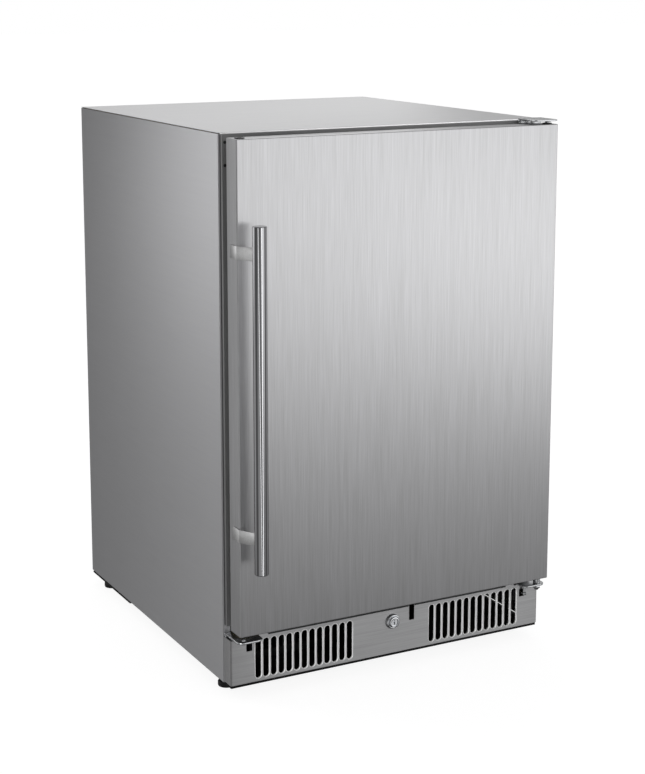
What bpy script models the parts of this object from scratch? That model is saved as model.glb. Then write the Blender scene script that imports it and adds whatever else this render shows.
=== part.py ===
"""Undercounter refrigerator with one reversible door, modelled in metres, +Z up.

The origin is under the middle of the object, on the surface it stands on. The door faces -Y, its
handle is towards -X and its hinge pins towards +X. Each separate piece of the real object is one
object here.
"""

import math

import bmesh
import bpy
from mathutils import Matrix, Vector

# ---------------------------------------------------------------- driving sizes, in metres
CABINET_WIDTH = 0.566
CABINET_DEPTH = 0.580
CABINET_TOP = 0.870  # above the floor
PANEL_BOTTOM = 0.0215  # lower edge of the outer side panels
SHEET = 0.001  # outer steel sheet
BEND = 0.0025  # outside radius of a sheet bend
HEM = 0.012  # width of a return flange
GAP = 0.0003  # between pieces that touch
WALL = 0.040  # insulated wall, sheet and liner included
LINER = 0.0015  # plastic liner sheet

DOOR_MARGIN = 0.002  # door narrower than the cabinet, each side
DOOR_THICKNESS = 0.0334
DOOR_STANDOFF = 0.0578  # door front to cabinet front edge
DOOR_BOTTOM = 0.1132
DOOR_TOP_DROP = 0.0053  # door top below cabinet top
DOOR_SHEET = 0.0009

FRAME_SEAM = 0.0025  # between cabinet edge and front frame
FRAME_DEPTH = 0.0060
FRAME_BOTTOM = 0.1145
GASKET_INSET = 0.010
GASKET_WIDTH = 0.018
GASKET_GAP = 0.0010

KICK_SETBACK = 0.0315  # kick grille behind the door front
KICK_SHEET = 0.0012
KICK_BOTTOM = 0.0245
KICK_TOP_GAP = 0.0052  # below the door
SLOT_PITCH = 0.01335
SLOT_WIDTH = 0.01155
SLOT_INNER = 0.0758  # centre of the innermost slot from the middle
SLOT_END_MARGIN = 0.047  # centre of the outermost slot from the side
SLOT_LOW = 0.0288
SLOT_HIGH = 0.0928
SLOT_DEPTH = 0.008  # depth of the fins between slots

HINGE_INSET = 0.012  # pivot axis from the door's side
HINGE_BACK = 0.014  # pivot axis behind the door front
PIN_RADIUS = 0.0035
BUSH_RADIUS = 0.0065
BUSH_DEPTH = 0.014
PLATE = 0.003  # hinge plate thickness
PLATE_WIDTH = 0.043

HANDLE_RADIUS = 0.01075
HANDLE_STANDOFF = 0.035  # bar centre in front of the door
HANDLE_INSET = 0.0195  # bar centre from the door's side
HANDLE_BELOW_TOP = 0.1217
HANDLE_ABOVE_BOTTOM = 0.1088
STRAP = 0.0017
STRAP_HEIGHT = 0.0200
STRAP_FROM_END = 0.042
STRAP_TAB = 0.020

LOCK_X = 0.0025
LOCK_Z = 0.0780
LOCK_RADIUS = 0.0088
LOCK_PROUD = 0.0075
CAM_LENGTH = 0.040
STRIKE_X = 0.0397
STRIKE_WIDTH = 0.005
NOTCH_X = 0.0380
NOTCH_WIDTH = 0.0096
NOTCH_BOTTOM = 0.0737

FLOOR_TOP = 0.140  # inside floor of the cooled space
CEILING_DROP = 0.040
STEP_DEPTH = 0.215  # raised step over the compressor, from the back
STEP_TOP = 0.300
STEP_WALL = 0.030

FOOT_RADIUS = 0.014
FOOT_PAD = 0.009
FOOT_STEM = 0.005
FOOT_INSET = 0.021
FRONT_FOOT_BACK = 0.035  # foot centre behind the cabinet front edge
REAR_FOOT_IN = 0.048  # foot centre in front of the back

# ---------------------------------------------------------------- sizes worked out from them
HALF = CABINET_WIDTH / 2
DOOR_HALF = HALF - DOOR_MARGIN
HANDLE_REACH = HANDLE_STANDOFF + HANDLE_RADIUS
TOTAL_DEPTH = HANDLE_REACH + DOOR_STANDOFF + CABINET_DEPTH
DOOR_FRONT = -TOTAL_DEPTH / 2 + HANDLE_REACH
DOOR_BACK = DOOR_FRONT + DOOR_THICKNESS
CABINET_FRONT = DOOR_FRONT + DOOR_STANDOFF
BACK = CABINET_FRONT + CABINET_DEPTH
DOOR_TOP = CABINET_TOP - DOOR_TOP_DROP
KICK_FRONT = DOOR_FRONT + KICK_SETBACK
KICK_TOP = DOOR_BOTTOM - KICK_TOP_GAP
FRAME_BACK = CABINET_FRONT - FRAME_SEAM
FRAME_FRONT = FRAME_BACK - FRAME_DEPTH
HINGE_X = DOOR_HALF - HINGE_INSET
HINGE_Y = DOOR_FRONT + HINGE_BACK
IN_HALF = HALF - WALL
IN_TOP = CABINET_TOP - CEILING_DROP
IN_BACK = BACK - WALL
STEP_FRONT = BACK - STEP_DEPTH
DECK = FRAME_BOTTOM + 0.002  # underside of the insulated floor
BAY_FRONT = STEP_FRONT + STEP_WALL  # compressor bay
BAY_TOP = STEP_TOP - STEP_WALL
PANEL_REAR = BACK - SHEET - GAP
BASE_LOW = 0.0195
BASE_SHEET = 0.0015
BASE_TOP = BASE_LOW + BASE_SHEET
BAY_LOW = 0.0160
BAY_SHEET = 0.0025
BAY_FLOOR = BAY_LOW + BAY_SHEET
CORNER = BEND + GAP  # what sits in a bent corner stays this far in
HANDLE_X = -DOOR_HALF + HANDLE_INSET
HANDLE_Y = DOOR_FRONT - HANDLE_STANDOFF
HANDLE_LOW = DOOR_BOTTOM + HANDLE_ABOVE_BOTTOM
HANDLE_HIGH = DOOR_TOP - HANDLE_BELOW_TOP
FOOT_X = HALF - FOOT_INSET
PLATE_FRONT = DOOR_FRONT + 0.005
LOWER_PLATE = 0.0992
UPPER_PLATE = CABINET_TOP - 0.0005
TURN = 2 * math.pi


# ---------------------------------------------------------------- shape helpers
def clear_scene():
    """Remove every object that is already in the scene."""
    for old in list(bpy.data.objects):
        bpy.data.objects.remove(old, do_unlink=True)


def finish(name, colour, roughness, metallic=0.0):
    """A plain Principled material."""
    material = bpy.data.materials.new(name)
    material.use_nodes = True
    shader = material.node_tree.nodes["Principled BSDF"]
    shader.inputs["Base Color"].default_value = (*colour, 1.0)
    shader.inputs["Roughness"].default_value = roughness
    shader.inputs["Metallic"].default_value = metallic
    return material


def box(low, high, into=None):
    """A box between two corners, in a new mesh or added to one."""
    made = into or bmesh.new()
    centre = (Vector(low) + Vector(high)) / 2
    size = Vector(high) - Vector(low)
    place = Matrix.Translation(centre) @ Matrix.Diagonal((*size, 1.0))
    bmesh.ops.create_cube(made, size=1.0, matrix=place)
    return made


def lift(axis, first, second, along):
    """The point of a flat outline: (y, z) across X, (x, z) across Y, (x, y) across Z."""
    return {"X": (along, first, second), "Y": (first, along, second), "Z": (first, second, along)}[axis]


def prism(outline, axis, low, high, into=None):
    """A flat outline pushed along an axis from low to high."""
    made = into or bmesh.new()
    ends = [[made.verts.new(lift(axis, a, b, t)) for a, b in outline] for t in (low, high)]
    made.faces.new(ends[0])
    made.faces.new(ends[1])
    count = len(outline)
    for i in range(count):
        j = (i + 1) % count
        made.faces.new((ends[0][i], ends[0][j], ends[1][j], ends[1][i]))
    return made


def ring(outer, inner, axis, low, high):
    """A flat frame between two outlines with the same number of points."""
    made = bmesh.new()
    loops = [
        [made.verts.new(lift(axis, a, b, t)) for a, b in outline]
        for outline, t in ((outer, low), (outer, high), (inner, high), (inner, low))
    ]
    count = len(outer)
    for k in range(4):
        for i in range(count):
            j = (i + 1) % count
            here, there = loops[k], loops[(k + 1) % 4]
            made.faces.new((here[i], here[j], there[j], there[i]))
    return made


def arc(cx, cy, radius, start, end, steps):
    """Points on an arc, angles in degrees, both ends included."""
    angles = [math.radians(start + (end - start) * i / steps) for i in range(steps + 1)]
    return [(cx + radius * math.cos(a), cy + radius * math.sin(a)) for a in angles]


def rounded(x0, x1, y0, y1, radius, steps=3):
    """A rectangle with round corners."""
    return (
        arc(x1 - radius, y1 - radius, radius, 0, 90, steps)
        + arc(x0 + radius, y1 - radius, radius, 90, 180, steps)
        + arc(x0 + radius, y0 + radius, radius, 180, 270, steps)
        + arc(x1 - radius, y0 + radius, radius, 270, 360, steps)
    )


def rectangle(x0, x1, y0, y1):
    return [(x0, y0), (x1, y0), (x1, y1), (x0, y1)]


def turned(profile, centre, axis, segments=24, loop=False):
    """A profile of (radius, distance along the axis) turned about an axis through centre."""
    made = bmesh.new()
    rings = []
    for radius, along in profile:
        points = []
        for i in range(segments):
            angle = TURN * i / segments
            a, b = radius * math.cos(angle), radius * math.sin(angle)
            offset = {"Z": (a, b, along), "Y": (a, along, b), "X": (along, a, b)}[axis]
            points.append(made.verts.new(Vector(centre) + Vector(offset)))
        rings.append(points)
    pairs = list(zip(rings, rings[1:]))
    if loop:
        pairs.append((rings[-1], rings[0]))
    else:
        made.faces.new(rings[0])
        made.faces.new(rings[-1])
    for low, high in pairs:
        for i in range(segments):
            j = (i + 1) % segments
            made.faces.new((low[i], low[j], high[j], high[i]))
    return made


def mirrored(outline):
    """The outline reflected across X = 0."""
    return [(-a, b) for a, b in reversed(outline)]


def place(name, made, material, origin=(0, 0, 0), parent=None, smooth=False):
    """Turn a mesh into an object with its origin at a point, under a parent empty if given."""
    bmesh.ops.recalc_face_normals(made, faces=made.faces)
    bmesh.ops.translate(made, verts=made.verts, vec=-Vector(origin))
    mesh = bpy.data.meshes.new(name)
    made.to_mesh(mesh)
    made.free()
    if smooth:
        mesh.shade_smooth()
        mesh.set_sharp_from_angle(angle=math.radians(35))
    if material:
        mesh.materials.append(material)
    thing = bpy.data.objects.new(name, mesh)
    bpy.context.scene.collection.objects.link(thing)
    thing.location = Vector(origin) - (parent.location if parent else Vector())
    thing.parent = parent
    return thing


def change(thing, made, operation):
    """Cut a mesh out of an object, or unite it with the object."""
    tool = place(f"tool_{operation.lower()}_{thing.name}", made, None)
    tool.hide_render = True
    tool.display_type = "WIRE"
    step = thing.modifiers.new(operation.lower(), "BOOLEAN")
    step.operation = operation
    step.solver = "EXACT"
    step.object = tool
    return thing


def cut(thing, made):
    return change(thing, made, "DIFFERENCE")


def unite(thing, made):
    return change(thing, made, "UNION")


def pivot(name, position):
    """An empty on a joint's axis."""
    empty = bpy.data.objects.new(name, None)
    bpy.context.scene.collection.objects.link(empty)
    empty.location = position
    bpy.context.view_layer.update()
    return empty


# ---------------------------------------------------------------- cabinet
def side_panel(name, side, steel):
    """Bent sheet with a flange folded inwards at its front and back edges."""
    outer, inner = HALF, HALF - SHEET
    bend, inside = BEND, BEND - SHEET
    front, rear = CABINET_FRONT, PANEL_REAR
    tip = HALF - HEM
    outline = (
        [(tip, front)]
        + arc(outer - bend, front + bend, bend, -90, 0, 3)
        + arc(outer - bend, rear - bend, bend, 0, 90, 3)
        + [(tip, rear), (tip, rear - SHEET)]
        + arc(inner - inside, rear - SHEET - inside, inside, 90, 0, 3)
        + arc(inner - inside, front + SHEET + inside, inside, 0, -90, 3)
        + [(tip, front + SHEET)]
    )
    if side < 0:
        outline = mirrored(outline)
    top = CABINET_TOP - SHEET - GAP
    panel = place(name, prism(outline, "Z", PANEL_BOTTOM, top), steel)
    inner_face = side * (HALF - BEND - GAP)
    lip_end = side * (HALF - HEM - 0.002)
    low, high = sorted((inner_face, lip_end))
    room = box((low, front - 0.001, top - HEM), (high, front + SHEET + 0.0004, top + 0.001))
    box((low, rear - SHEET - 0.0004, top - HEM), (high, rear + 0.001, top + 0.001), room)
    return cut(panel, room)


def top_panel(steel):
    """Top sheet with a lip folded down at the front and back."""
    front, rear, top = CABINET_FRONT, PANEL_REAR, CABINET_TOP
    inside = BEND - SHEET
    lip = top - HEM + GAP
    outline = (
        [(front, lip)]
        + arc(front + BEND, top - BEND, BEND, 180, 90, 3)
        + arc(rear - BEND, top - BEND, BEND, 90, 0, 3)
        + [(rear, lip), (rear - SHEET, lip)]
        + arc(rear - BEND, top - BEND, inside, 0, 90, 3)
        + arc(front + BEND, top - BEND, inside, 90, 180, 3)
        + [(front + SHEET, lip)]
    )
    edge = HALF - BEND - 2 * GAP
    made = prism(outline, "X", -edge, edge)
    panel = place("top_panel", made, steel)
    wings = box((-HALF, front + BEND, top - SHEET), (HALF, rear - BEND, top))
    return unite(panel, wings)


def back_panels(steel, dark):
    """Plain sheet behind the cooled space, and the slotted cover of the compressor bay."""
    edge = HALF - 0.004
    place("back_panel", box((-edge, BACK - SHEET, BAY_TOP), (edge, BACK, CABINET_TOP - 0.004)), steel)
    wide = HALF - HEM - 0.002
    rear = PANEL_REAR - SHEET - 0.004
    cover = place(
        "rear_cover", box((-wide, rear - SHEET, BAY_FLOOR + GAP), (wide, rear, BAY_TOP - 0.0010)), dark
    )
    slots = bmesh.new()
    for column in (-0.10, 0.0, 0.10):
        for row in range(8):
            middle = 0.080 + 0.020 * row
            outline = rounded(column - 0.040, column + 0.040, middle - 0.003, middle + 0.003, 0.0029, 2)
            prism(outline, "Y", rear - 0.004, rear + 0.003, slots)
    gland = turned([(0.0080, -0.004), (0.0080, 0.004)], (-wide + 0.045, rear, 0.052), "Y", 20)
    cut(cover, slots)
    cut(cover, gland)
    flange = [(0.0050, -0.010), (0.0076, -0.010), (0.0076, GAP), (0.0115, GAP), (0.0115, 0.0025),
              (0.0070, 0.0034), (0.0050, 0.0034)]
    place("cord_gland", turned(flange, (-wide + 0.045, rear, 0.052), "Y", 20, loop=True), dark, smooth=True)


def base(dark):
    """Front base pan and the lower, thicker plate that carries the compressor."""
    edge = HALF - SHEET - GAP
    front = KICK_FRONT + KICK_SHEET + 0.0006
    rise = KICK_BOTTOM - GAP
    outline = [(front, BASE_LOW), (BAY_FRONT - 0.001, BASE_LOW), (BAY_FRONT - 0.001, BASE_TOP),
               (front + BASE_SHEET, BASE_TOP), (front + BASE_SHEET, rise), (front, rise)]
    pan = place("base_pan", prism(outline, "X", -edge, edge), dark)
    plate = place(
        "compressor_plate", box((-edge, BAY_FRONT - 0.0005, BAY_LOW), (edge, BACK - 0.0030, BAY_FLOOR)), dark
    )
    for target, y in ((pan, CABINET_FRONT + FRONT_FOOT_BACK), (plate, BACK - REAR_FOOT_IN)):
        for side in (-1, 1):
            hole = [(FOOT_STEM + GAP, 0.010), (FOOT_STEM + GAP, 0.030)]
            cut(target, turned(hole, (side * FOOT_X, y, 0), "Z", 20))


def foot(name, side, y, rubber):
    """Screw-in levelling foot, fully in; it extends downwards."""
    profile = [(FOOT_RADIUS - 0.002, 0.0), (FOOT_RADIUS, 0.002), (FOOT_RADIUS, FOOT_PAD - 0.002),
               (FOOT_STEM + 0.002, FOOT_PAD), (FOOT_STEM, FOOT_PAD), (FOOT_STEM, 0.045)]
    centre = (side * FOOT_X, y, 0)
    place(name, turned(profile, centre, "Z", 20), rubber, origin=centre, smooth=True)


def front_frame(grey):
    """Flat frame around the mouth, which the door's gasket closes on."""
    edge = HALF - 0.0025
    outer = rectangle(-edge, edge, FRAME_BOTTOM, CABINET_TOP - 0.0015)
    inner = rectangle(-IN_HALF, IN_HALF, FLOOR_TOP, IN_TOP)
    place("front_frame", ring(outer, inner, "Y", FRAME_FRONT, FRAME_BACK), grey)


def room_profile(grow, mouth):
    """Side outline of the cooled space, grown outwards all round except at the mouth."""
    return [
        (mouth, FLOOR_TOP - grow),
        (STEP_FRONT + grow, FLOOR_TOP - grow),
        (STEP_FRONT + grow, STEP_TOP - grow),
        (IN_BACK + grow, STEP_TOP - grow),
        (IN_BACK + grow, IN_TOP + grow),
        (mouth, IN_TOP + grow),
    ]


def liner(white):
    """Formed plastic liner with a step over the compressor and a flange round its mouth."""
    mouth = FRAME_BACK + GAP
    flange_back = mouth + LINER
    width = IN_HALF + LINER
    shell = place("inner_liner", prism(room_profile(LINER, mouth), "X", -width, width), white)
    reach = 0.018
    outer = rectangle(-width - reach, width + reach, FLOOR_TOP - LINER - reach, IN_TOP + LINER + reach)
    inner = rectangle(-width + 0.0005, width - 0.0005, FLOOR_TOP - LINER + 0.0005, IN_TOP + LINER - 0.0005)
    unite(shell, ring(outer, inner, "Y", mouth, flange_back))
    return cut(shell, prism(room_profile(0, mouth - 0.01), "X", -IN_HALF, IN_HALF))


def insulation(foam):
    """Foam between the liner and the outer sheets, open over the compressor bay."""
    front = CABINET_FRONT + SHEET + GAP
    rear = PANEL_REAR - SHEET - GAP
    edge = HALF - CORNER
    top = CABINET_TOP - CORNER
    outline = [(front, DECK), (BAY_FRONT, DECK), (BAY_FRONT, BAY_TOP), (rear, BAY_TOP), (rear, top),
               (front, top)]
    body = place("foam_body", prism(outline, "X", -edge, edge), foam)
    grow = LINER + GAP
    return cut(body, prism(room_profile(grow, front - 0.01), "X", -IN_HALF - grow, IN_HALF + grow))


def slot_centres():
    """Centres of the vertical air slots, in two groups left and right of the lock."""
    outermost = HALF - SLOT_END_MARGIN
    count = int((outermost - SLOT_INNER) / SLOT_PITCH + 1.01)
    right = [SLOT_INNER + SLOT_PITCH * i for i in range(count)]
    return [-x for x in reversed(right)] + right


def kick_grille(steel):
    """Grille below the door: folded sheet with side returns, notches and two groups of slots."""
    sheet, bend = KICK_SHEET, 0.0025
    front, rear = KICK_FRONT, CABINET_FRONT - FRAME_SEAM
    inside = bend - sheet
    outline = (
        arc(HALF - bend, front + bend, bend, -90, 0, 3)
        + [(HALF, rear), (HALF - sheet, rear)]
        + arc(HALF - sheet - inside, front + sheet + inside, inside, 0, -90, 3)
    )
    outline = outline + mirrored(outline)
    grille = place("kick_grille", prism(outline, "Z", KICK_BOTTOM, KICK_TOP), steel)
    centres = slot_centres()
    half_group = len(centres) // 2
    back = front + SLOT_DEPTH
    pads = bmesh.new()
    for group in (centres[:half_group], centres[half_group:]):
        low, high = group[0] - SLOT_WIDTH / 2 - 0.0018, group[-1] + SLOT_WIDTH / 2 + 0.0018
        box((low, front + sheet / 2, SLOT_LOW - 0.0018), (high, back, SLOT_HIGH + 0.0018), pads)
    unite(grille, pads)
    slots = bmesh.new()
    for x in centres:
        radius = SLOT_WIDTH / 2
        outline = arc(x, SLOT_HIGH - radius, radius, 0, 180, 8) + arc(x, SLOT_LOW + radius, radius, 180, 360, 8)
        prism(outline, "Y", front - 0.004, back + 0.004, slots)
    cut(grille, slots)
    deep, shallow = LOWER_PLATE - 0.0022, LOWER_PLATE + 0.0038
    over = KICK_TOP + 0.004
    notches = bmesh.new()
    for side in (-1, 1):
        step = [(HALF + 0.001, deep), (HALF - 0.0475, deep), (HALF - 0.0475, shallow),
                (HALF - 0.063, shallow), (HALF - 0.063, over), (HALF + 0.001, over)]
        prism([(side * a, b) for a, b in step], "Y", front - 0.004, rear + 0.001, notches)
        middle = side * (HALF - 0.0315)
        box((middle - 0.005, front - 0.004, 0.0757), (middle + 0.005, front + sheet + 0.003, 0.0885), notches)
    half_notch = NOTCH_WIDTH / 2
    notch = (NOTCH_X - half_notch, front - 0.004, NOTCH_BOTTOM)
    box(notch, (NOTCH_X + half_notch, front + sheet + 0.004, over), notches)
    lock = turned([(LOCK_RADIUS + 0.0004, -0.004), (LOCK_RADIUS + 0.0004, 0.006)],
                  (LOCK_X, front, LOCK_Z), "Y", 28)
    cut(grille, notches)
    return cut(grille, lock)


def plate_outline(front, back, inner, radius):
    """Outline of the right-hand hinge plate seen from above, round at its front corners."""
    outer = inner + PLATE_WIDTH
    return (
        [(inner, back)]
        + arc(inner + radius, front + radius, radius, 180, 270, 5)
        + arc(outer - radius, front + radius, radius, 270, 360, 5)
        + [(outer, back)]
    )


def hinges(steel, door_edge):
    """Fixed hinge plates with their pins, and the vacant seat for a left-hand hinge."""
    inner = door_edge - PLATE_WIDTH
    flange_back = CABINET_FRONT - GAP
    flange_front = flange_back - 0.0025
    high = UPPER_PLATE
    outline = plate_outline(DOOR_FRONT + 0.0005, FRAME_FRONT - GAP, inner, 0.004)
    upper = place("hinge_top_bracket", prism(outline, "Z", high, high + PLATE), steel)
    drop = DOOR_TOP - GASKET_INSET + 0.002
    unite(upper, box((inner, FRAME_FRONT - GAP - 0.0025, drop), (door_edge, FRAME_FRONT - GAP, high + PLATE)))
    pin_end = DOOR_TOP - BUSH_DEPTH + 0.002
    pin = [(PIN_RADIUS - 0.0006, pin_end), (PIN_RADIUS, pin_end + 0.0006), (PIN_RADIUS, high + 0.001)]
    unite(upper, turned(pin, (HINGE_X, HINGE_Y, 0), "Z", 24))

    low = LOWER_PLATE
    outline = plate_outline(PLATE_FRONT, flange_back, inner, 0.010)
    lower = place("hinge_bottom_bracket", prism(outline, "Z", low, low + PLATE), steel)
    unite(lower, box((door_edge - 0.034, flange_front, 0.061), (door_edge - 0.001, flange_back, low + PLATE)))
    pin = [(PIN_RADIUS + 0.0003, low - 0.0115), (PIN_RADIUS + 0.0003, low + PLATE + 0.0005),
           (BUSH_RADIUS - 0.0005, low + PLATE + 0.0005), (BUSH_RADIUS - 0.0005, DOOR_BOTTOM - 0.0028),
           (PIN_RADIUS, DOOR_BOTTOM - 0.0028), (PIN_RADIUS, DOOR_BOTTOM + BUSH_DEPTH - 0.002)]
    unite(lower, turned(pin, (HINGE_X, HINGE_Y, 0), "Z", 24))

    blank = place("hinge_blank_left", prism(mirrored(outline), "Z", low, low + PLATE), steel)
    unite(blank, box((-door_edge + 0.001, flange_front, 0.061), (-door_edge + 0.034, flange_back, low + PLATE)))
    cut(blank, turned([(PIN_RADIUS, low - 0.004), (PIN_RADIUS, low + PLATE + 0.004)],
                      (-HINGE_X, HINGE_Y, 0), "Z", 20))


# ---------------------------------------------------------------- lock
def lock(chrome, steel):
    """Round lock in the grille: fixed rim, barrel turned by the key, and cam behind it."""
    rim = [(LOCK_RADIUS + 0.0003, -0.0045), (LOCK_RADIUS + 0.0025, -0.0045), (0.0125, -0.0015),
           (0.0125, -GAP), (LOCK_RADIUS + 0.0003, -GAP)]
    centre = (LOCK_X, KICK_FRONT, LOCK_Z)
    place("lock_bezel", turned(rim, centre, "Y", 32, loop=True), chrome, smooth=True)
    axis = pivot("lock_axis", centre)
    depth = 0.0200
    profile = [(LOCK_RADIUS - 0.0010, -LOCK_PROUD), (LOCK_RADIUS, -LOCK_PROUD + 0.0010), (LOCK_RADIUS, depth)]
    barrel = place("lock_barrel", turned(profile, centre, "Y", 32), chrome, centre, axis, smooth=True)
    slot_box = box((LOCK_X - 0.0007, KICK_FRONT - 0.010, LOCK_Z - 0.0042),
                   (LOCK_X + 0.0007, KICK_FRONT - LOCK_PROUD + 0.0030, LOCK_Z + 0.0042))
    cut(barrel, slot_box)
    low, high = KICK_FRONT + depth + GAP, KICK_FRONT + depth + 0.0025
    reach = arc(LOCK_X, LOCK_Z, 0.0075, 0, 180, 8)
    tip = arc(LOCK_X, LOCK_Z - CAM_LENGTH + 0.004, 0.004, 180, 360, 6)
    place("lock_cam", prism(reach + tip, "Y", low, high), steel, centre, axis)


# ---------------------------------------------------------------- door
def door(parts, hinge):
    """Every piece that swings with the door."""
    steel, white, foam, rubber, clear, nylon = parts
    front, back = DOOR_FRONT, DOOR_BACK
    sheet, bend = DOOR_SHEET, 0.0022
    inside = bend - sheet
    outer = ([(-DOOR_HALF, back)] + arc(-DOOR_HALF + bend, front + bend, bend, 180, 270, 4)
             + arc(DOOR_HALF - bend, front + bend, bend, 270, 360, 4) + [(DOOR_HALF, back)])
    hollow = ([(-DOOR_HALF + sheet, back + 0.01)]
              + arc(-DOOR_HALF + bend, front + bend, inside, 180, 270, 4)
              + arc(DOOR_HALF - bend, front + bend, inside, 270, 360, 4) + [(DOOR_HALF - sheet, back + 0.01)])
    origin = tuple(hinge.location)
    skin = place("door_skin", prism(outer, "Z", DOOR_BOTTOM, DOOR_TOP), steel, origin, hinge)
    cut(skin, prism(hollow, "Z", DOOR_BOTTOM + sheet, DOOR_TOP - sheet))

    liner_front = back - LINER
    core_low, core_high = front + sheet + GAP, liner_front - GAP
    room = sheet + GAP
    core = box((-DOOR_HALF + room + bend, core_low, DOOR_BOTTOM + room),
               (DOOR_HALF - room - bend, core_high, DOOR_TOP - room))
    core = place("door_core", core, foam, origin, hinge)

    for side in (-1, 1):
        for end, inward in ((DOOR_TOP, -1), (DOOR_BOTTOM, 1)):
            hole = sorted((end - inward * 0.002, end + inward * (BUSH_DEPTH + 0.0006)))
            pocket = [(BUSH_RADIUS + GAP, hole[0]), (BUSH_RADIUS + GAP, hole[1])]
            centre = (side * HINGE_X, HINGE_Y, 0)
            cut(core, turned(pocket, centre, "Z", 20))
            if side > 0 or inward < 0:
                through = sorted((end - inward * 0.002, end + inward * 0.004))
                rim = [(BUSH_RADIUS + GAP, through[0]), (BUSH_RADIUS + GAP, through[1])]
                cut(skin, turned(rim, centre, "Z", 20))

    def bush(name, end, inward, centre, bore):
        """Flanged nylon bush seated in the door's edge."""
        flange = end - inward * 0.0016
        face = end - inward * GAP
        tail = end + inward * BUSH_DEPTH
        outside = [(BUSH_RADIUS + 0.0012, flange), (BUSH_RADIUS + 0.0012, face), (BUSH_RADIUS, face),
                   (BUSH_RADIUS, tail)]
        if bore:
            profile = [(bore, flange)] + outside + [(bore, tail)]
        else:
            profile = [(BUSH_RADIUS - 0.0035, flange)] + outside
        piece = turned(profile, centre, "Z", 24, loop=bool(bore))
        place(name, piece, nylon, origin, hinge, smooth=True)

    bush("hinge_bush_top", DOOR_TOP, -1, (HINGE_X, HINGE_Y, 0), PIN_RADIUS + 0.00008)
    bush("hinge_bush_bottom", DOOR_BOTTOM, 1, (HINGE_X, HINGE_Y, 0), PIN_RADIUS + 0.00008)
    bush("bush_plug", DOOR_TOP, -1, (-HINGE_X, HINGE_Y, 0), 0)

    # inner panel: a flat flange and a raised rim that carries the bins
    edge = DOOR_HALF - sheet - GAP
    low, high = DOOR_BOTTOM + room, DOOR_TOP - room
    panel = place("door_liner", box((-edge, liner_front, low), (edge, back, high)), white, origin, hinge)
    dyke = IN_HALF - 0.021
    dyke_low, dyke_high = FLOOR_TOP + 0.018, IN_TOP - 0.018
    dyke_back = back + 0.0360
    unite(panel, prism(rounded(-dyke, dyke, dyke_low, dyke_high, 0.012), "Y", liner_front + 0.0005, dyke_back))
    pocket = rectangle(-dyke + 0.010, dyke - 0.010, dyke_low + 0.010, dyke_high - 0.010)
    cut(panel, prism(pocket, "Y", back + 0.0010, dyke_back + 0.01))

    inset = GASKET_INSET
    seal = ring(
        rounded(-DOOR_HALF + inset, DOOR_HALF - inset, DOOR_BOTTOM + inset, DOOR_TOP - inset, 0.008),
        rounded(-DOOR_HALF + inset + GASKET_WIDTH, DOOR_HALF - inset - GASKET_WIDTH,
                DOOR_BOTTOM + inset + GASKET_WIDTH, DOOR_TOP - inset - GASKET_WIDTH, 0.004),
        "Y", back + GAP, FRAME_FRONT - GASKET_GAP)
    place("door_gasket", seal, rubber, origin, hinge)

    # bins clip between the rims
    bin_half = dyke - 0.0115
    bin_front, bin_back = back + 0.0016, back + 0.0850
    span = dyke_high - dyke_low - 0.020
    heights = (0.105, 0.080, 0.070)
    for index, (name, tall) in enumerate(zip(("door_bin_low", "door_bin_mid", "door_bin_top"), heights)):
        floor = dyke_low + 0.020 + span * index / 3
        wall, thick = 0.0022, 0.0025
        tray = place(name, box((-bin_half, bin_front, floor), (bin_half, bin_back, floor + tall)), clear,
                     origin, hinge)
        hollow_box = box((-bin_half + wall, bin_front + wall, floor + thick),
                         (bin_half - wall, bin_back - wall, floor + tall + 0.01))
        cut(tray, hollow_box)

    # handle: round bar on two bent straps
    bar = [(HANDLE_RADIUS - 0.0008, HANDLE_LOW), (HANDLE_RADIUS, HANDLE_LOW + 0.0008),
           (HANDLE_RADIUS, HANDLE_HIGH - 0.0008), (HANDLE_RADIUS - 0.0008, HANDLE_HIGH)]
    place("handle_bar", turned(bar, (HANDLE_X, HANDLE_Y, 0), "Z", 32), steel, origin, hinge, smooth=True)
    for name, middle in (("handle_bracket_top", HANDLE_HIGH - STRAP_FROM_END),
                         ("handle_bracket_bottom", HANDLE_LOW + STRAP_FROM_END + 0.010)):
        strap = prism(strap_outline(), "Z", middle - STRAP_HEIGHT / 2, middle + STRAP_HEIGHT / 2)
        place(name, strap, steel, origin, hinge)

    # strike: bent strip under the door that the lock cam blocks
    left, right = STRIKE_X - STRIKE_WIDTH / 2, STRIKE_X + STRIKE_WIDTH / 2
    leg_back = CABINET_FRONT - 0.0005
    top = DOOR_BOTTOM - GAP
    outline = [(front + 0.008, top - 0.0018), (leg_back - 0.0020, top - 0.0018),
               (leg_back - 0.0020, NOTCH_BOTTOM + 0.0020), (leg_back, NOTCH_BOTTOM + 0.0020), (leg_back, top),
               (front + 0.008, top)]
    place("lock_strike", prism(outline, "X", left, right), steel, origin, hinge)


def strap_outline():
    """Strap seen from above: along the door's side, round its edge, then out to the bar."""
    outer_x = -DOOR_HALF - GAP - STRAP
    inner_x = -DOOR_HALF - GAP
    corner_y = DOOR_FRONT - 0.0010
    centre = Vector((HANDLE_X, HANDLE_Y))
    start = Vector((inner_x, corner_y))
    direction = (centre - start).normalized()
    normal = Vector((direction.y, -direction.x))
    stop = centre - direction * (HANDLE_RADIUS + GAP)
    outer_side = Vector((outer_x, corner_y))
    shift = (outer_side - start).dot(normal)
    near_end = stop
    far_end = stop + normal * shift
    return [(inner_x, DOOR_FRONT + STRAP_TAB), (inner_x, corner_y), tuple(near_end), tuple(far_end),
            (outer_x, corner_y - 0.0006), (outer_x, DOOR_FRONT + STRAP_TAB)]


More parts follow.
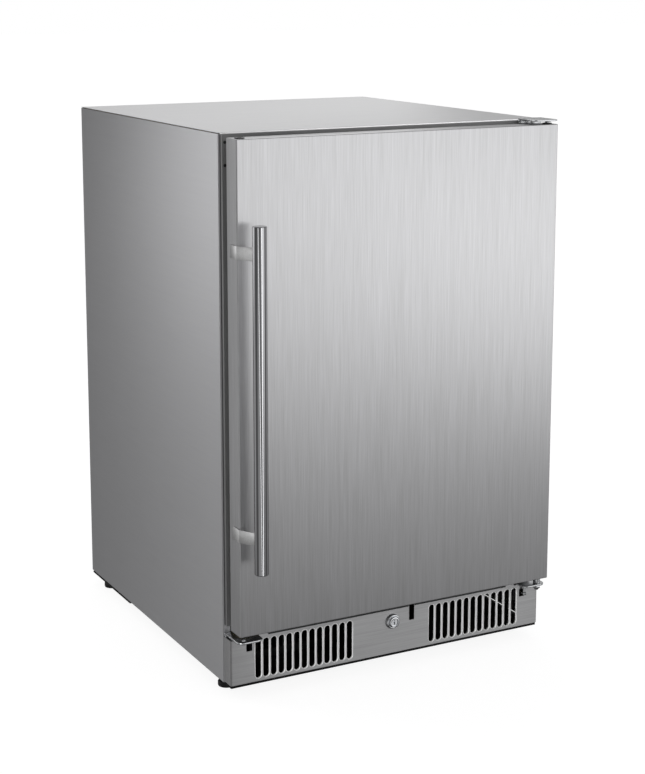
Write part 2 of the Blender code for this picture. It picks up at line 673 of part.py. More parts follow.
# ---------------------------------------------------------------- cooled space
def interior(white, clear, chrome, dark, silver):
    """Shelves with their rails, evaporator with its cover and fan, controls and lamp."""
    shelf_front = DOOR_BACK + 0.0850 + 0.022
    shelf_back = IN_BACK - 0.066
    rail_low, rail_high = STEP_TOP + 0.030, IN_TOP - 0.120
    count = 3
    levels = [rail_low + (rail_high - rail_low) * (i + 0.5) / count for i in range(count)]
    ledge, rib = 0.007, 0.004
    for name, side in (("shelf_rail_left", -1), ("shelf_rail_right", 1)):
        wall, face = IN_HALF - GAP, IN_HALF - GAP - 0.0025
        outline = [(wall, rail_low), (face, rail_low)]
        for level in levels:
            outline += [(face, level - rib), (face - ledge, level - rib), (face - ledge, level), (face, level)]
        outline += [(face, rail_high), (wall, rail_high)]
        rail = prism([(side * a, b) for a, b in outline], "Y", shelf_front + 0.010, shelf_back)
        place(name, rail, white)
    for index, level in enumerate(levels):
        half = IN_HALF - GAP - 0.0025 - 0.0012
        outline = rounded(-half, half, shelf_front, shelf_back + 0.004, 0.006)
        place(f"shelf_{index + 1}", prism(outline, "Z", level + GAP, level + GAP + 0.0045), clear)

    # evaporator and its cover on the back wall
    rear = IN_BACK - GAP
    half = IN_HALF - 0.045
    cover_low, cover_high = IN_TOP - 0.365, IN_TOP - 0.030
    cover = place("evaporator_cover", box((-half, rear - 0.056, cover_low), (half, rear, cover_high)), white)
    cut(cover, box((-half + 0.002, rear - 0.054, cover_low + 0.002), (half - 0.002, rear + 0.01, cover_high - 0.002)))
    fan_z = cover_high - 0.085
    openings = turned([(0.048, -0.065), (0.048, -0.045)], (0, rear, fan_z), "Y", 32)
    cut(cover, openings)
    slots = bmesh.new()
    for i in range(5):
        middle = cover_low + 0.030 + 0.014 * i
        outline = rounded(-0.120, 0.120, middle - 0.0035, middle + 0.0035, 0.0034, 2)
        prism(outline, "Y", rear - 0.065, rear - 0.045, slots)
    cut(cover, slots)
    fins = []
    pitch, wide, fin_count = 0.014, 0.0022, 23
    start = -pitch * (fin_count - 1) / 2
    for i in range(fin_count):
        x = start + pitch * i
        fins += [(x - wide / 2, rear - 0.020), (x - wide / 2, rear - 0.046), (x + wide / 2, rear - 0.046),
                 (x + wide / 2, rear - 0.020)]
    last = start + pitch * (fin_count - 1) + wide
    outline = [(-last, rear - 0.008), (-last, rear - 0.020)] + fins + [(last, rear - 0.020), (last, rear - 0.008)]
    place("evaporator", prism(outline, "Z", cover_low + 0.030, fan_z - 0.060), silver)
    motor = [(0.019, 0.0), (0.019, -0.0210), (0.0045, -0.0210), (0.0045, -0.0230), (0.0020, -0.0230),
             (0.0020, -0.0310)]
    place("evaporator_fan_motor", turned(motor, (0, rear, fan_z), "Y", 24), dark, smooth=True)
    fan("evaporator_fan_blade", (0, rear - 0.0385, fan_z), 0.044, 0.012, 0.0022, white, 0.014)

    # control strip under the front of the ceiling, with three push buttons, and the lamp
    strip_front = CABINET_FRONT + 0.034
    top = IN_TOP - GAP
    strip = place("control_panel", box((-0.110, strip_front, top - 0.034), (0.110, strip_front + 0.030, top)), dark)
    holes = bmesh.new()
    buttons = (("button_power", -0.070), ("button_down", 0.050), ("button_up", 0.075))
    z = top - 0.017
    for name, x in buttons:
        bore = prism(rounded(x - 0.0083, x + 0.0083, z - 0.0063, z + 0.0063, 0.003), "Y", strip_front - 0.004,
                     strip_front + 0.008, holes)
        key = prism(rounded(x - 0.0080, x + 0.0080, z - 0.0060, z + 0.0060, 0.0027), "Y", strip_front - 0.0015,
                    strip_front + 0.0065)
        place(name, key, chrome, origin=(x, strip_front, z))
    cut(strip, holes)
    lens = rounded(-0.060, 0.060, strip_front + 0.045, strip_front + 0.075, 0.008)
    place("lamp_lens", prism(lens, "Z", top - 0.012, top), clear)


def fan(name, centre, radius, hub, shaft, material, depth):
    """Five-bladed fan on a round hub with a bore for its shaft; it turns about Y."""
    bore = shaft + GAP
    profile = [(bore, depth / 2), (hub, depth / 2), (hub, -depth / 2), (bore, -depth / 2)]
    rotor = place(name, turned(profile, centre, "Y", 24, loop=True), material, origin=centre)
    blades = bmesh.new()
    for i in range(5):
        outline = [(hub - 0.003, -0.006), (radius * 0.97, -0.016), (radius, 0.002), (hub - 0.003, 0.006)]
        before = len(blades.verts)
        prism(outline, "Z", -0.0008, 0.0008, blades)
        blades.verts.ensure_lookup_table()
        new = blades.verts[before:]
        tilt = Matrix.Rotation(math.radians(24), 4, "X")
        lay = Matrix.Rotation(math.radians(90), 4, "X")
        spin = Matrix.Rotation(TURN * i / 5, 4, "Y")
        bmesh.ops.transform(blades, matrix=Matrix.Translation(centre) @ spin @ lay @ tilt, verts=new)
    return unite(rotor, blades)


# ---------------------------------------------------------------- refrigeration plant
def plant(dark, copper, silver, steel, white):
    """Condenser behind the grille; fan, compressor, drip tray, drier and control box in the bay."""
    low = CABINET_FRONT + 0.060
    fins = []
    pitch, wide, count = 0.0115, 0.0022, 17
    left = -IN_HALF + 0.006
    for i in range(count):
        x = left + 0.004 + pitch * i
        fins += [(x, 0.034), (x, 0.104), (x + wide, 0.104), (x + wide, 0.034)]
    last = left + 0.004 + pitch * (count - 1) + wide + 0.004
    outline = [(left, BASE_TOP + GAP), (left, 0.034)] + fins + [(last, 0.034), (last, BASE_TOP + GAP)]
    place("condenser", prism(outline, "Y", low, low + 0.055), dark)

    fan_y, fan_z, fan_x = BAY_FRONT + 0.020, 0.098, -0.110
    shroud = box((fan_x - 0.085, fan_y - 0.0015, BAY_FLOOR + GAP), (fan_x + 0.085, fan_y + 0.0015, 0.185))
    shroud = place("condenser_fan_shroud", shroud, dark)
    cut(shroud, turned([(0.062, -0.005), (0.062, 0.005)], (fan_x, fan_y, fan_z), "Y", 32))
    motor = [(0.024, 0.060), (0.024, 0.020), (0.0050, 0.020), (0.0050, 0.0160), (0.0022, 0.0160),
             (0.0022, 0.0055)]
    engine = turned(motor, (fan_x, fan_y, fan_z), "Y", 24)
    engine = place("condenser_fan_motor", engine, dark)
    unite(engine, box((fan_x - 0.010, fan_y + 0.030, BAY_FLOOR + GAP), (fan_x + 0.010, fan_y + 0.050, fan_z - 0.015)))
    fan("condenser_fan_blade", (fan_x, fan_y + 0.002, fan_z), 0.058, 0.016, 0.0022, dark, 0.018)

    cx, cy = 0.115, BACK - 0.098
    floor = BAY_FLOOR + GAP
    shell = [(0.045, floor + 0.016), (0.068, floor + 0.024), (0.074, floor + 0.045), (0.074, floor + 0.115),
             (0.066, floor + 0.140), (0.044, floor + 0.158), (0.018, floor + 0.166)]
    case = place("compressor", turned(shell, (cx, cy, 0), "Z", 28), dark, smooth=True)
    unite(case, box((cx - 0.088, cy - 0.050, floor + 0.0155), (cx + 0.088, cy + 0.050, floor + 0.0185)))
    for dx in (-0.076, 0.076):
        for dy in (-0.038, 0.038):
            unite(case, turned([(0.0085, floor), (0.0085, floor + 0.017)], (cx + dx, cy + dy, 0), "Z", 12))

    tray_floor = floor + 0.166 + GAP
    tray = place("drip_tray", box((cx - 0.090, cy - 0.065, tray_floor), (cx + 0.090, cy + 0.065, tray_floor + 0.030)),
                 white)
    cut(tray, box((cx - 0.088, cy - 0.063, tray_floor + 0.002), (cx + 0.088, cy + 0.063, tray_floor + 0.040)))

    drier = [(0.0030, floor), (0.0030, floor + 0.012), (0.0100, floor + 0.020), (0.0100, floor + 0.085),
             (0.0030, floor + 0.093), (0.0030, floor + 0.110)]
    place("filter_drier", turned(drier, (0.0, BACK - 0.060, 0), "Z", 20), copper, smooth=True)
    case_top = BAY_TOP - GAP
    place("control_box", box((-0.235, BACK - 0.100, case_top - 0.060), (-0.115, BACK - 0.025, case_top)), steel)


def build():
    clear_scene()
    brushed = finish("brushed stainless steel", (0.52, 0.52, 0.53), 0.32, 1.0)
    bar = finish("polished stainless steel", (0.60, 0.60, 0.61), 0.15, 1.0)
    plate = finish("stamped stainless steel", (0.55, 0.55, 0.56), 0.30, 1.0)
    chrome = finish("chromed zinc", (0.65, 0.65, 0.66), 0.10, 1.0)
    black = finish("black coated steel", (0.02, 0.02, 0.02), 0.50)
    zinc = finish("zinc coated steel", (0.45, 0.46, 0.47), 0.45, 1.0)
    grey = finish("grey plastic", (0.20, 0.20, 0.21), 0.45)
    white = finish("white liner plastic", (0.80, 0.80, 0.79), 0.40)
    foam = finish("insulating foam", (0.75, 0.68, 0.45), 0.90)
    rubber = finish("dark gasket", (0.05, 0.05, 0.052), 0.60)
    clear = finish("clear plastic", (0.80, 0.84, 0.84), 0.10)
    nylon = finish("nylon", (0.30, 0.30, 0.30), 0.50)
    copper = finish("copper", (0.70, 0.32, 0.20), 0.30, 1.0)
    aluminium = finish("aluminium", (0.75, 0.75, 0.75), 0.40, 1.0)

    side_panel("side_panel_left", -1, brushed)
    side_panel("side_panel_right", 1, brushed)
    top_panel(brushed)
    back_panels(zinc, black)
    base(black)
    for name, side, y in (("foot_front_left", -1, CABINET_FRONT + FRONT_FOOT_BACK),
                          ("foot_front_right", 1, CABINET_FRONT + FRONT_FOOT_BACK),
                          ("foot_rear_left", -1, BACK - REAR_FOOT_IN),
                          ("foot_rear_right", 1, BACK - REAR_FOOT_IN)):
        foot(name, side, y, black)
    front_frame(grey)
    liner(white)
    insulation(foam)
    kick_grille(brushed)
    hinges(plate, DOOR_HALF)
    lock(chrome, zinc)
    hinge = pivot("door_hinge", (HINGE_X, HINGE_Y, DOOR_BOTTOM))
    door((bar, white, foam, rubber, clear, nylon), hinge)
    interior(white, clear, chrome, black, aluminium)
    plant(black, copper, aluminium, zinc, white)


build()
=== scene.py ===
"""Finishes, finer pieces, studio stage and camera of an undercounter refrigerator.

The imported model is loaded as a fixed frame. Its nodes keep their places, get softened edges and real
finishes, and the ones that show most are replaced by finer meshes that ride on the same bodies.
Lengths are in metres, +Z is up, the door faces -Y and its hinge pins are towards +X.
"""

import math

import bmesh
import bpy
from bpy.props import FloatProperty, FloatVectorProperty, IntProperty, PointerProperty
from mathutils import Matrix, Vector


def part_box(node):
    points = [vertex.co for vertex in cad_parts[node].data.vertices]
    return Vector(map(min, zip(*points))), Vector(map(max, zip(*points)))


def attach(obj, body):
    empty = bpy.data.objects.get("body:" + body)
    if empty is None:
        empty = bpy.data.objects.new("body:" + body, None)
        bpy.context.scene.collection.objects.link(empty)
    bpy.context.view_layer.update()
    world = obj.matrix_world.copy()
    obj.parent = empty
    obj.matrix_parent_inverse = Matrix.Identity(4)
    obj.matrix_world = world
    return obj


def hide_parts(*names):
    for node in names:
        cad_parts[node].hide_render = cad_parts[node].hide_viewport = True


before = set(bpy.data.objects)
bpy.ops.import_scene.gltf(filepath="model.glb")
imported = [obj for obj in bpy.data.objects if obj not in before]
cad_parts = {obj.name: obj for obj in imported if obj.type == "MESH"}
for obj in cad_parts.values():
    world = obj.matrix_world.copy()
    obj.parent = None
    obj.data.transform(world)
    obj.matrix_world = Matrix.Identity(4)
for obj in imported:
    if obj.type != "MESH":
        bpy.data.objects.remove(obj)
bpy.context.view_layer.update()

bl_info = {
    "name": "Undercounter refrigerator",
    "version": (1, 0, 0),
    "blender": (4, 5, 0),
    "location": "3D view > Sidebar > Refrigerator",
    "description": "Finishes, finer pieces and a studio for an undercounter refrigerator",
    "category": "Object",
}

GAP = 0.0003  # clearance between faces that would otherwise coincide
TURN = 2 * math.pi
MATERIALS = {}  # filled by make_materials, by the short names that the pieces use


# ---------------------------------------------------------------- colours and nodes
def linear(code):
    """Linear RGBA from an sRGB hex colour such as "#c8c9cb"; a colour property is linear already."""
    if not isinstance(code, str):
        return tuple(code)
    values = [int(code[i:i + 2], 16) / 255 for i in (1, 3, 5)]
    return (*[v / 12.92 if v <= 0.04045 else ((v + 0.055) / 1.055) ** 2.4 for v in values], 1.0)


def add(tree, kind, inputs=None, **settings):
    """Add a node; inputs gives each socket a value or another node's output."""
    node = tree.nodes.new(kind)
    for key, value in settings.items():
        setattr(node, key, value)
    for key, value in (inputs or {}).items():
        if isinstance(value, bpy.types.NodeSocket):
            tree.links.new(value, node.inputs[key])
        else:
            node.inputs[key].default_value = value
    return node


def start(name, **sockets):
    """A new material: its tree and its Principled shader, with constants on the shader's sockets."""
    material = bpy.data.materials.new(name)
    material.use_nodes = True
    tree = material.node_tree
    shader = tree.nodes["Principled BSDF"]
    for key, value in sockets.items():
        shader.inputs[key.replace("_", " ").title().replace("Ior", "IOR")].default_value = value
    return material, tree, shader


def grain_noise(tree, width, length, along, detail=2.0):
    """Noise drawn out along one axis, from the grain's real width and length."""
    place = add(tree, "ShaderNodeTexCoord")
    scale = [1 / width] * 3
    scale["XYZ".index(along)] = 1 / length
    mapped = add(tree, "ShaderNodeMapping", {"Vector": place.outputs["Object"], "Scale": scale})
    return add(tree, "ShaderNodeTexNoise",
               {"Vector": mapped.outputs[0], "Scale": 1.0, "Detail": detail, "Roughness": 0.6})


def span(tree, source, low, high, first=0.0, last=1.0):
    """Map source from first..last to low..high, held at both ends."""
    return add(tree, "ShaderNodeMapRange", {"Value": source, "From Min": first, "From Max": last,
                                            "To Min": low, "To Max": high}).outputs[0]


def tint(tree, factor, first, second):
    """Mix two colours."""
    return add(tree, "ShaderNodeMix", {0: factor, 6: linear(first), 7: linear(second)},
               data_type="RGBA").outputs[2]


def bump(tree, shader, height, depth):
    """Relief of a given depth in metres."""
    relief = add(tree, "ShaderNodeBump", {"Height": height, "Strength": 1.0, "Distance": depth})
    tree.links.new(relief.outputs[0], shader.inputs["Normal"])


def brushed_steel(name, along, dark, light, roughness, contrast, turn, wheel):
    """Stainless steel brushed with an abrasive belt: fine lines along one axis spread the highlights
    across them. The real lines are 0.05 mm apart; they are drawn 1 and 5 mm wide so that they show."""
    material, tree, shader = start(name, metallic=1.0, anisotropic=0.65, anisotropic_rotation=turn)
    scratch_width, scratch_length, band_width, band_length = 0.0010, 0.080, 0.0050, 0.250
    fine = grain_noise(tree, scratch_width, scratch_length, along).outputs["Fac"]
    broad = grain_noise(tree, band_width, band_length, along).outputs["Fac"]
    lines = add(tree, "ShaderNodeMix", {0: 0.30, 2: fine, 3: broad}).outputs[0]
    tone = span(tree, lines, 0.5 - contrast, 0.5 + contrast, 0.35, 0.65)
    tree.links.new(tint(tree, tone, dark, light), shader.inputs["Base Color"])
    tree.links.new(span(tree, fine, roughness - 0.02, roughness + 0.02, 0.3, 0.7), shader.inputs["Roughness"])
    bump(tree, shader, fine, 0.0000015)
    tangent = add(tree, "ShaderNodeTangent", direction_type="RADIAL", axis=wheel)
    tree.links.new(tangent.outputs[0], shader.inputs["Tangent"])
    return material


def smooth_metal(name, dark, light, roughness, spot, depth=0.00001):
    """Polished, rolled or plated metal: faint cloudy marks in tone and gloss."""
    material, tree, shader = start(name, metallic=1.0)
    noise = grain_noise(tree, spot, spot, "Z", 4.0).outputs["Fac"]
    tree.links.new(tint(tree, noise, dark, light), shader.inputs["Base Color"])
    tree.links.new(span(tree, noise, roughness * 0.85, roughness * 1.2, 0.3, 0.7), shader.inputs["Roughness"])
    bump(tree, shader, noise, depth)
    return material


def zinc_sheet(name):
    """Hot-dip galvanised sheet steel: crystals of spangle some 8 mm across, each with its own tone."""
    material, tree, shader = start(name, metallic=1.0)
    place = add(tree, "ShaderNodeTexCoord")
    spangle = 0.008
    cells = add(tree, "ShaderNodeTexVoronoi", {"Vector": place.outputs["Object"], "Scale": 1 / spangle})
    grey = add(tree, "ShaderNodeSeparateColor", {0: cells.outputs["Color"]}).outputs[0]
    tree.links.new(tint(tree, grey, "#a5aaad", "#c3c7c9"), shader.inputs["Base Color"])
    tree.links.new(span(tree, grey, 0.32, 0.50), shader.inputs["Roughness"])
    return material


def moulded(name, dark, light, roughness, grit, depth, **sockets):
    """Moulded or formed plastic and powder coat: an even colour with a fine skin of the given grit."""
    material, tree, shader = start(name, **sockets)
    cloud_size = 0.06
    noise = grain_noise(tree, grit, grit, "Z", 3.0).outputs["Fac"]
    cloud = grain_noise(tree, cloud_size, cloud_size, "Z").outputs["Fac"]
    tree.links.new(tint(tree, cloud, dark, light), shader.inputs["Base Color"])
    tree.links.new(span(tree, noise, roughness - 0.05, roughness + 0.05, 0.3, 0.7), shader.inputs["Roughness"])
    bump(tree, shader, noise, depth)
    return material


def foam_skin(name):
    """Cut polyurethane foam: pale yellow, matt, with open cells. The real cells are about 0.8 mm
    across; they are drawn 1.5 mm so that they show."""
    material, tree, shader = start(name, roughness=0.95)
    place = add(tree, "ShaderNodeTexCoord")
    cell = 0.0015
    cells = add(tree, "ShaderNodeTexVoronoi", {"Vector": place.outputs["Object"], "Scale": 1 / cell})
    tree.links.new(tint(tree, cells.outputs["Distance"], "#cdbb86", "#e6d8ab"), shader.inputs["Base Color"])
    bump(tree, shader, cells.outputs["Distance"], 0.0004)
    return material


def clear_sheet(name, code, roughness, ior, grit):
    """Clear plastic or glass: most light passes, with faint moulding waves and a slight haze."""
    material, tree, shader = start(name, transmission_weight=0.8, ior=ior, roughness=roughness)
    noise = grain_noise(tree, grit, grit, "Z", 1.0).outputs["Fac"]
    tree.links.new(tint(tree, noise, code, "#f8fbfa"), shader.inputs["Base Color"])
    bump(tree, shader, noise, 0.00002)
    return material


def glowing(name, code, strength, base):
    """A diffusing lens or indicator window lit from behind, with a fine moulded skin."""
    material, tree, shader = start(name, roughness=0.4, emission_strength=strength,
                                   emission_color=linear(code))
    stipple = 0.002
    noise = grain_noise(tree, stipple, stipple, "Z", 1.0).outputs["Fac"]
    tree.links.new(tint(tree, noise, base, code), shader.inputs["Base Color"])
    return material


def make_materials(colours):
    """Every finish, by the name that the pieces use."""
    MATERIALS.update({
        # belt-brushed 430 stainless sheet with upright grain: wide soft highlights, fine light streaks
        "door": brushed_steel("brushed_stainless_door", "Z", colours.door_dark, colours.door_light,
                              0.36, 0.50, 0.0, "Z"),
        # the same sheet with its grain front to back: flatter and more even
        "side": brushed_steel("brushed_stainless_side", "Y", colours.side_dark, colours.side_light,
                              0.40, 0.40, 0.25, "Z"),
        # grain left to right: reflections stretch towards the front
        "top": brushed_steel("brushed_stainless_top", "X", colours.top_dark, colours.top_light,
                             0.36, 0.50, 0.0, "X"),
        # a darker batch with its grain along the grille
        "kick": brushed_steel("brushed_stainless_grille", "X", colours.grille_dark, colours.grille_light,
                              0.38, 0.50, 0.25, "Z"),
        # rims of the slots: the grille's steel, matt and without grain, in a far lighter tone than the grille;
        # the lighter tone is a painted highlight
        "edge": smooth_metal("painted_highlight_stainless", "#dadada", "#ececec", 0.72, 0.002),
        # bent strip, brushed before bending: soft sheen across its width
        "strap": brushed_steel("brushed_strap", "X", "#cfcfcf", "#e2e2e2", 0.42, 0.50, 0.25, "Z"),
        # ground and buffed 304 bar: nearly a mirror, with sharp light and dark bands
        "bar": smooth_metal("polished_stainless", colours.bar_dark, colours.bar_light, 0.08, 0.020, 0.0),
        # stamped 430 strip, as rolled: cloudy half gloss
        "plate": smooth_metal("stamped_stainless", "#bcbec0", "#d2d3d5", 0.24, 0.006),
        # bright chrome on a zinc casting: mirror gloss
        "chrome": smooth_metal("chromed_zinc", "#d3d5d8", "#e6e7e9", 0.07, 0.010, 0.000002),
        # nickel on cold-headed steel: a little duller than chrome
        "screw": smooth_metal("nickel_plated_steel", "#b9babb", "#d5d6d6", 0.18, 0.002),
        # hot-dip sheet: dull grey flakes
        "zinc": zinc_sheet("galvanised_steel"),
        # drawn tube, slightly tarnished
        "copper": smooth_metal("drawn_copper", "#b96c47", "#d08a63", 0.28, 0.008),
        # rolled fins: pale half gloss
        "fins": smooth_metal("mill_aluminium", "#c9cbcd", "#dcdddd", 0.34, 0.004),
        # baked powder coat: dull black; its 0.4 mm orange peel is drawn 0.8 mm so that it shows
        "coat": moulded("black_powder_coat", "#060606", "#0b0b0c", 0.55, 0.0008, 0.00003,
                        specular_ior_level=0.25),
        # dipped and baked enamel: glossy black with slow waves
        "enamel": moulded("black_baked_enamel", "#08080a", "#101012", 0.28, 0.0030, 0.00002, coat_weight=0.3),
        # extruded ABS strip: flat mid grey
        "strip": moulded("grey_abs", colours.strip_dark, colours.strip_light, 0.40, 0.0006, 0.00001),
        # vacuum-formed polystyrene: warm white, soft gloss, faint waves
        "liner": moulded("white_polystyrene", colours.liner_dark, colours.liner_light, 0.32, 0.0040, 0.00003,
                         coat_weight=0.15),
        # spark-textured mouldings: low sheen
        "black": moulded("black_abs", "#141415", "#1c1c1e", 0.45, 0.0007, 0.00002),
        # extruded plasticised PVC: dark, slightly greasy sheen
        "seal": moulded("soft_pvc", colours.seal_dark, colours.seal_light, 0.50, 0.0012, 0.00001),
        # glass-filled nylon: dark grey, waxy
        "nylon": moulded("moulded_nylon", "#3c3c3d", "#4a4a4b", 0.38, 0.0010, 0.00001),
        # vulcanised rubber: matt black
        "rubber": moulded("foot_rubber", "#0e0e0e", "#171717", 0.70, 0.0006, 0.00004),
        "foam": foam_skin("polyurethane_foam"),
        # injection-moulded crystal polystyrene: clear, a trace of green, bright edges
        "clear": clear_sheet("crystal_polystyrene", "#eef3f2", 0.06, 1.59, 0.030),
        # float glass, toughened: clear with very slow waves
        "glass": clear_sheet("tempered_glass", "#e4efe9", 0.03, 1.52, 0.080),
        # frosted lens over the lamp: warm, even glow
        "lens": glowing("frosted_lamp_lens", "#fff6e6", 10.0, "#e8e8e4"),
        # smoked window: nearly black, with a trace of blue from behind
        "display": glowing("smoked_display", "#9fd4ff", 0.02, "#0a0b0d"),
        # light bars behind the window
        "lit": glowing("indicator_light", "#bfe4ff", 4.0, "#dff1ff"),
    })


# ---------------------------------------------------------------- mesh helpers
def lift(axis, first, second, along):
    """The point of a flat outline: (y, z) across X, (x, z) across Y, (x, y) across Z."""
    return {"X": (along, first, second), "Y": (first, along, second), "Z": (first, second, along)}[axis]


def arc(cx, cy, radius, start_angle, end_angle, steps):
    """Points on an arc, angles in degrees, both ends included."""
    angles = [math.radians(start_angle + (end_angle - start_angle) * i / steps) for i in range(steps + 1)]
    return [(cx + radius * math.cos(a), cy + radius * math.sin(a)) for a in angles]


def rounded(x0, x1, y0, y1, radius, steps=8):
    """A rectangle with round corners."""
    corners = ((x1 - radius, y1 - radius), (x0 + radius, y1 - radius), (x0 + radius, y0 + radius),
               (x1 - radius, y0 + radius))
    return [point for k, (x, y) in enumerate(corners)
            for point in arc(x, y, radius, 90 * k, 90 * k + 90, steps)]


def stadium(x, low, high, radius):
    """An upright slot with round ends; low and high are its ends."""
    return arc(x, high - radius, radius, 0, 180, 12) + arc(x, low + radius, radius, 180, 360, 12)


def mirrored(outline):
    """The outline reflected across X = 0."""
    return [(-a, b) for a, b in reversed(outline)]


def loft(loops, into=None, closed=False):
    """Skin through loops of points, with caps, or joined end to end if closed."""
    made = into or bmesh.new()
    rows = [[made.verts.new(p) for p in loop] for loop in loops]
    if not closed:
        made.faces.new(rows[0])
        made.faces.new(rows[-1])
    pairs = list(zip(rows, rows[1:])) + ([(rows[-1], rows[0])] if closed else [])
    count = len(rows[0])
    for low, high in pairs:
        for i in range(count):
            j = (i + 1) % count
            made.faces.new((low[i], low[j], high[j], high[i]))
    return made


def prism(outline, axis, low, high, into=None):
    """A flat outline pushed along an axis."""
    return loft([[lift(axis, a, b, t) for a, b in outline] for t in (low, high)], into)


def box(low, high, into=None):
    """A block between two corners."""
    return prism([(low[0], low[1]), (high[0], low[1]), (high[0], high[1]), (low[0], high[1])], "Z",
                 low[2], high[2], into)


def turned(profile, centre, axis, segments=48, into=None, closed=False):
    """A profile of (radius, distance along the axis) turned about an axis through centre."""
    loops = []
    for radius, along in profile:
        ring = []
        for i in range(segments):
            a, b = radius * math.cos(TURN * i / segments), radius * math.sin(TURN * i / segments)
            ring.append(Vector(centre) + Vector(lift(axis, a, b, along)))
        loops.append(ring)
    return loft(loops, into, closed)


def soft_edges(made, width, segments=3, angle=40):
    """Round the edges that are sharper than an angle."""
    bmesh.ops.recalc_face_normals(made, faces=made.faces)
    sharp = [e for e in made.edges if len(e.link_faces) == 2 and e.calc_face_angle() > math.radians(angle)]
    bmesh.ops.bevel(made, geom=sharp, offset=width, segments=segments, profile=0.5, affect="EDGES",
                    clamp_overlap=True)
    return made


def tube(points, radius, into=None, sides=12):
    """A round tube through points, rounded where it turns."""
    path = smooth_path(points)
    loops = []
    reference = Vector((0, 0, 1))
    for i, here in enumerate(path):
        ahead = (path[min(i + 1, len(path) - 1)] - path[max(i - 1, 0)]).normalized()
        across = ahead.cross(reference)
        if across.length < 0.1:
            across = ahead.cross(Vector((1, 0, 0)))
        across.normalize()
        reference = across.cross(ahead)
        ring = [(math.cos(TURN * k / sides), math.sin(TURN * k / sides)) for k in range(sides)]
        loops.append([here + radius * (a * across + b * reference) for a, b in ring])
    return loft(loops, into)


def smooth_path(points, steps=6):
    """Points on a smooth curve through the given ones."""
    given = [Vector(p) for p in points]
    padded = [given[0]] + given + [given[-1]]
    path = []
    for a, b, c, d in zip(padded, padded[1:], padded[2:], padded[3:]):
        for i in range(steps):
            t = i / steps
            path.append(0.5 * ((2 * b) + (c - a) * t + (2 * a - 5 * b + 4 * c - d) * t * t
                               + (3 * b - a - 3 * c + d) * t * t * t))
    return path + [given[-1]]


def join(made, other):
    """Add one bmesh's geometry to another."""
    mesh = bpy.data.meshes.new("joined")
    other.to_mesh(mesh)
    other.free()
    made.from_mesh(mesh)
    bpy.data.meshes.remove(mesh)


def as_object(name, made):
    """A mesh object made from a bmesh, with its faces pointing out."""
    bmesh.ops.recalc_face_normals(made, faces=made.faces)
    mesh = bpy.data.meshes.new(name)
    made.to_mesh(mesh)
    made.free()
    thing = bpy.data.objects.new(name, mesh)
    bpy.context.scene.collection.objects.link(thing)
    return thing


def settle(thing):
    """Replace the object's mesh by what its modifiers make of it."""
    shape = bpy.data.meshes.new_from_object(thing.evaluated_get(bpy.context.evaluated_depsgraph_get()))
    thing.modifiers.clear()
    old, thing.data = thing.data, shape
    shape.name = old.name + "_made"


def cut(thing, *tools):
    """Cut meshes out of an object."""
    for index, made in enumerate(tools):
        tool = as_object(f"{thing.name}_tool_{index}", made)
        step = thing.modifiers.new("cut", "BOOLEAN")
        step.object = tool
        step.solver = "EXACT"
        settle(thing)
        bpy.data.objects.remove(tool)


def dress(thing, material, body, replaces=(), angle=32):
    """Give a piece its finish, shade it, and let it ride on its body."""
    mesh = thing.data
    mesh.materials.clear()
    mesh.materials.append(MATERIALS[material])
    mesh.shade_smooth()
    mesh.set_sharp_from_angle(angle=math.radians(angle))
    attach(thing, body)
    if replaces:
        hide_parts(*replaces)


def piece(name, made, material, body, replaces=(), angle=32):
    """A finished piece made from a bmesh."""
    dress(as_object(name, made), material, body, replaces, angle)


def keep(node, material, edge=0.0006):
    """A node that keeps its shape gets its finish and softened edges; no edge width leaves it faceted."""
    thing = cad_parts[node]
    # light passes clear pieces, so they throw no shadow
    thing.visible_shadow = material not in ("clear", "glass")
    mesh = thing.data
    mesh.materials.clear()
    mesh.materials.append(MATERIALS[material])
    mesh.shade_smooth()
    weld = thing.modifiers.new("weld", "WELD")
    weld.merge_threshold = 0.00001
    flat = thing.modifiers.new("flat", "DECIMATE")
    flat.decimate_type = "DISSOLVE"
    flat.angle_limit = math.radians(1)
    if not edge:
        mesh.shade_flat()
        return
    step = thing.modifiers.new("edges", "BEVEL")
    step.width = edge
    step.segments = 2
    step.limit_method = "ANGLE"
    step.angle_limit = math.radians(40)
    step.harden_normals = True


def screw_head(made, centre, axis, radius, height, sign=-1):
    """A domed pan head whose flat side is on centre; sign gives the way it stands up along the axis."""
    dome = [(radius, 0), (radius, 0.25), (0.93 * radius, 0.6), (0.75 * radius, 0.85), (0.45 * radius, 0.97),
            (0.30 * radius, 1.0), (0.26 * radius, 0.72), (0.05 * radius, 0.70)]
    turned([(r, sign * h * height) for r, h in dome], centre, axis, 24, made)


def screw_grid(name, columns, rows, face, radius, height, sign=-1):
    """Screws on an upright face, one at each crossing of columns (x) and rows (z)."""
    made = bmesh.new()
    for x in columns:
        for z in rows:
            screw_head(made, (x, face, z), "Y", radius, height, sign)
    piece(name, made, "screw", "root")


def fillet(outline, radii, steps=6):
    """Round some corners of a flat outline; radii gives a radius for the index of each corner."""
    made = []
    for i, corner in enumerate(outline):
        here = Vector(corner)
        if i not in radii:
            made.append(tuple(here))
            continue
        before = (Vector(outline[i - 1]) - here).normalized()
        after = (Vector(outline[(i + 1) % len(outline)]) - here).normalized()
        half = before.angle(after) / 2
        centre = here + (before + after).normalized() * radii[i] / math.sin(half)
        start, end = here + before * radii[i] / math.tan(half), here + after * radii[i] / math.tan(half)
        first = math.atan2(start.y - centre.y, start.x - centre.x)
        sweep = (math.atan2(end.y - centre.y, end.x - centre.x) - first + math.pi) % TURN - math.pi
        made += [(centre.x + radii[i] * math.cos(first + sweep * k / steps),
                  centre.y + radii[i] * math.sin(first + sweep * k / steps)) for k in range(steps + 1)]
    return made


def centre_of(node):
    """The middle of a node's box."""
    low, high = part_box(node)
    return [(a + b) / 2 for a, b in zip(low, high)]


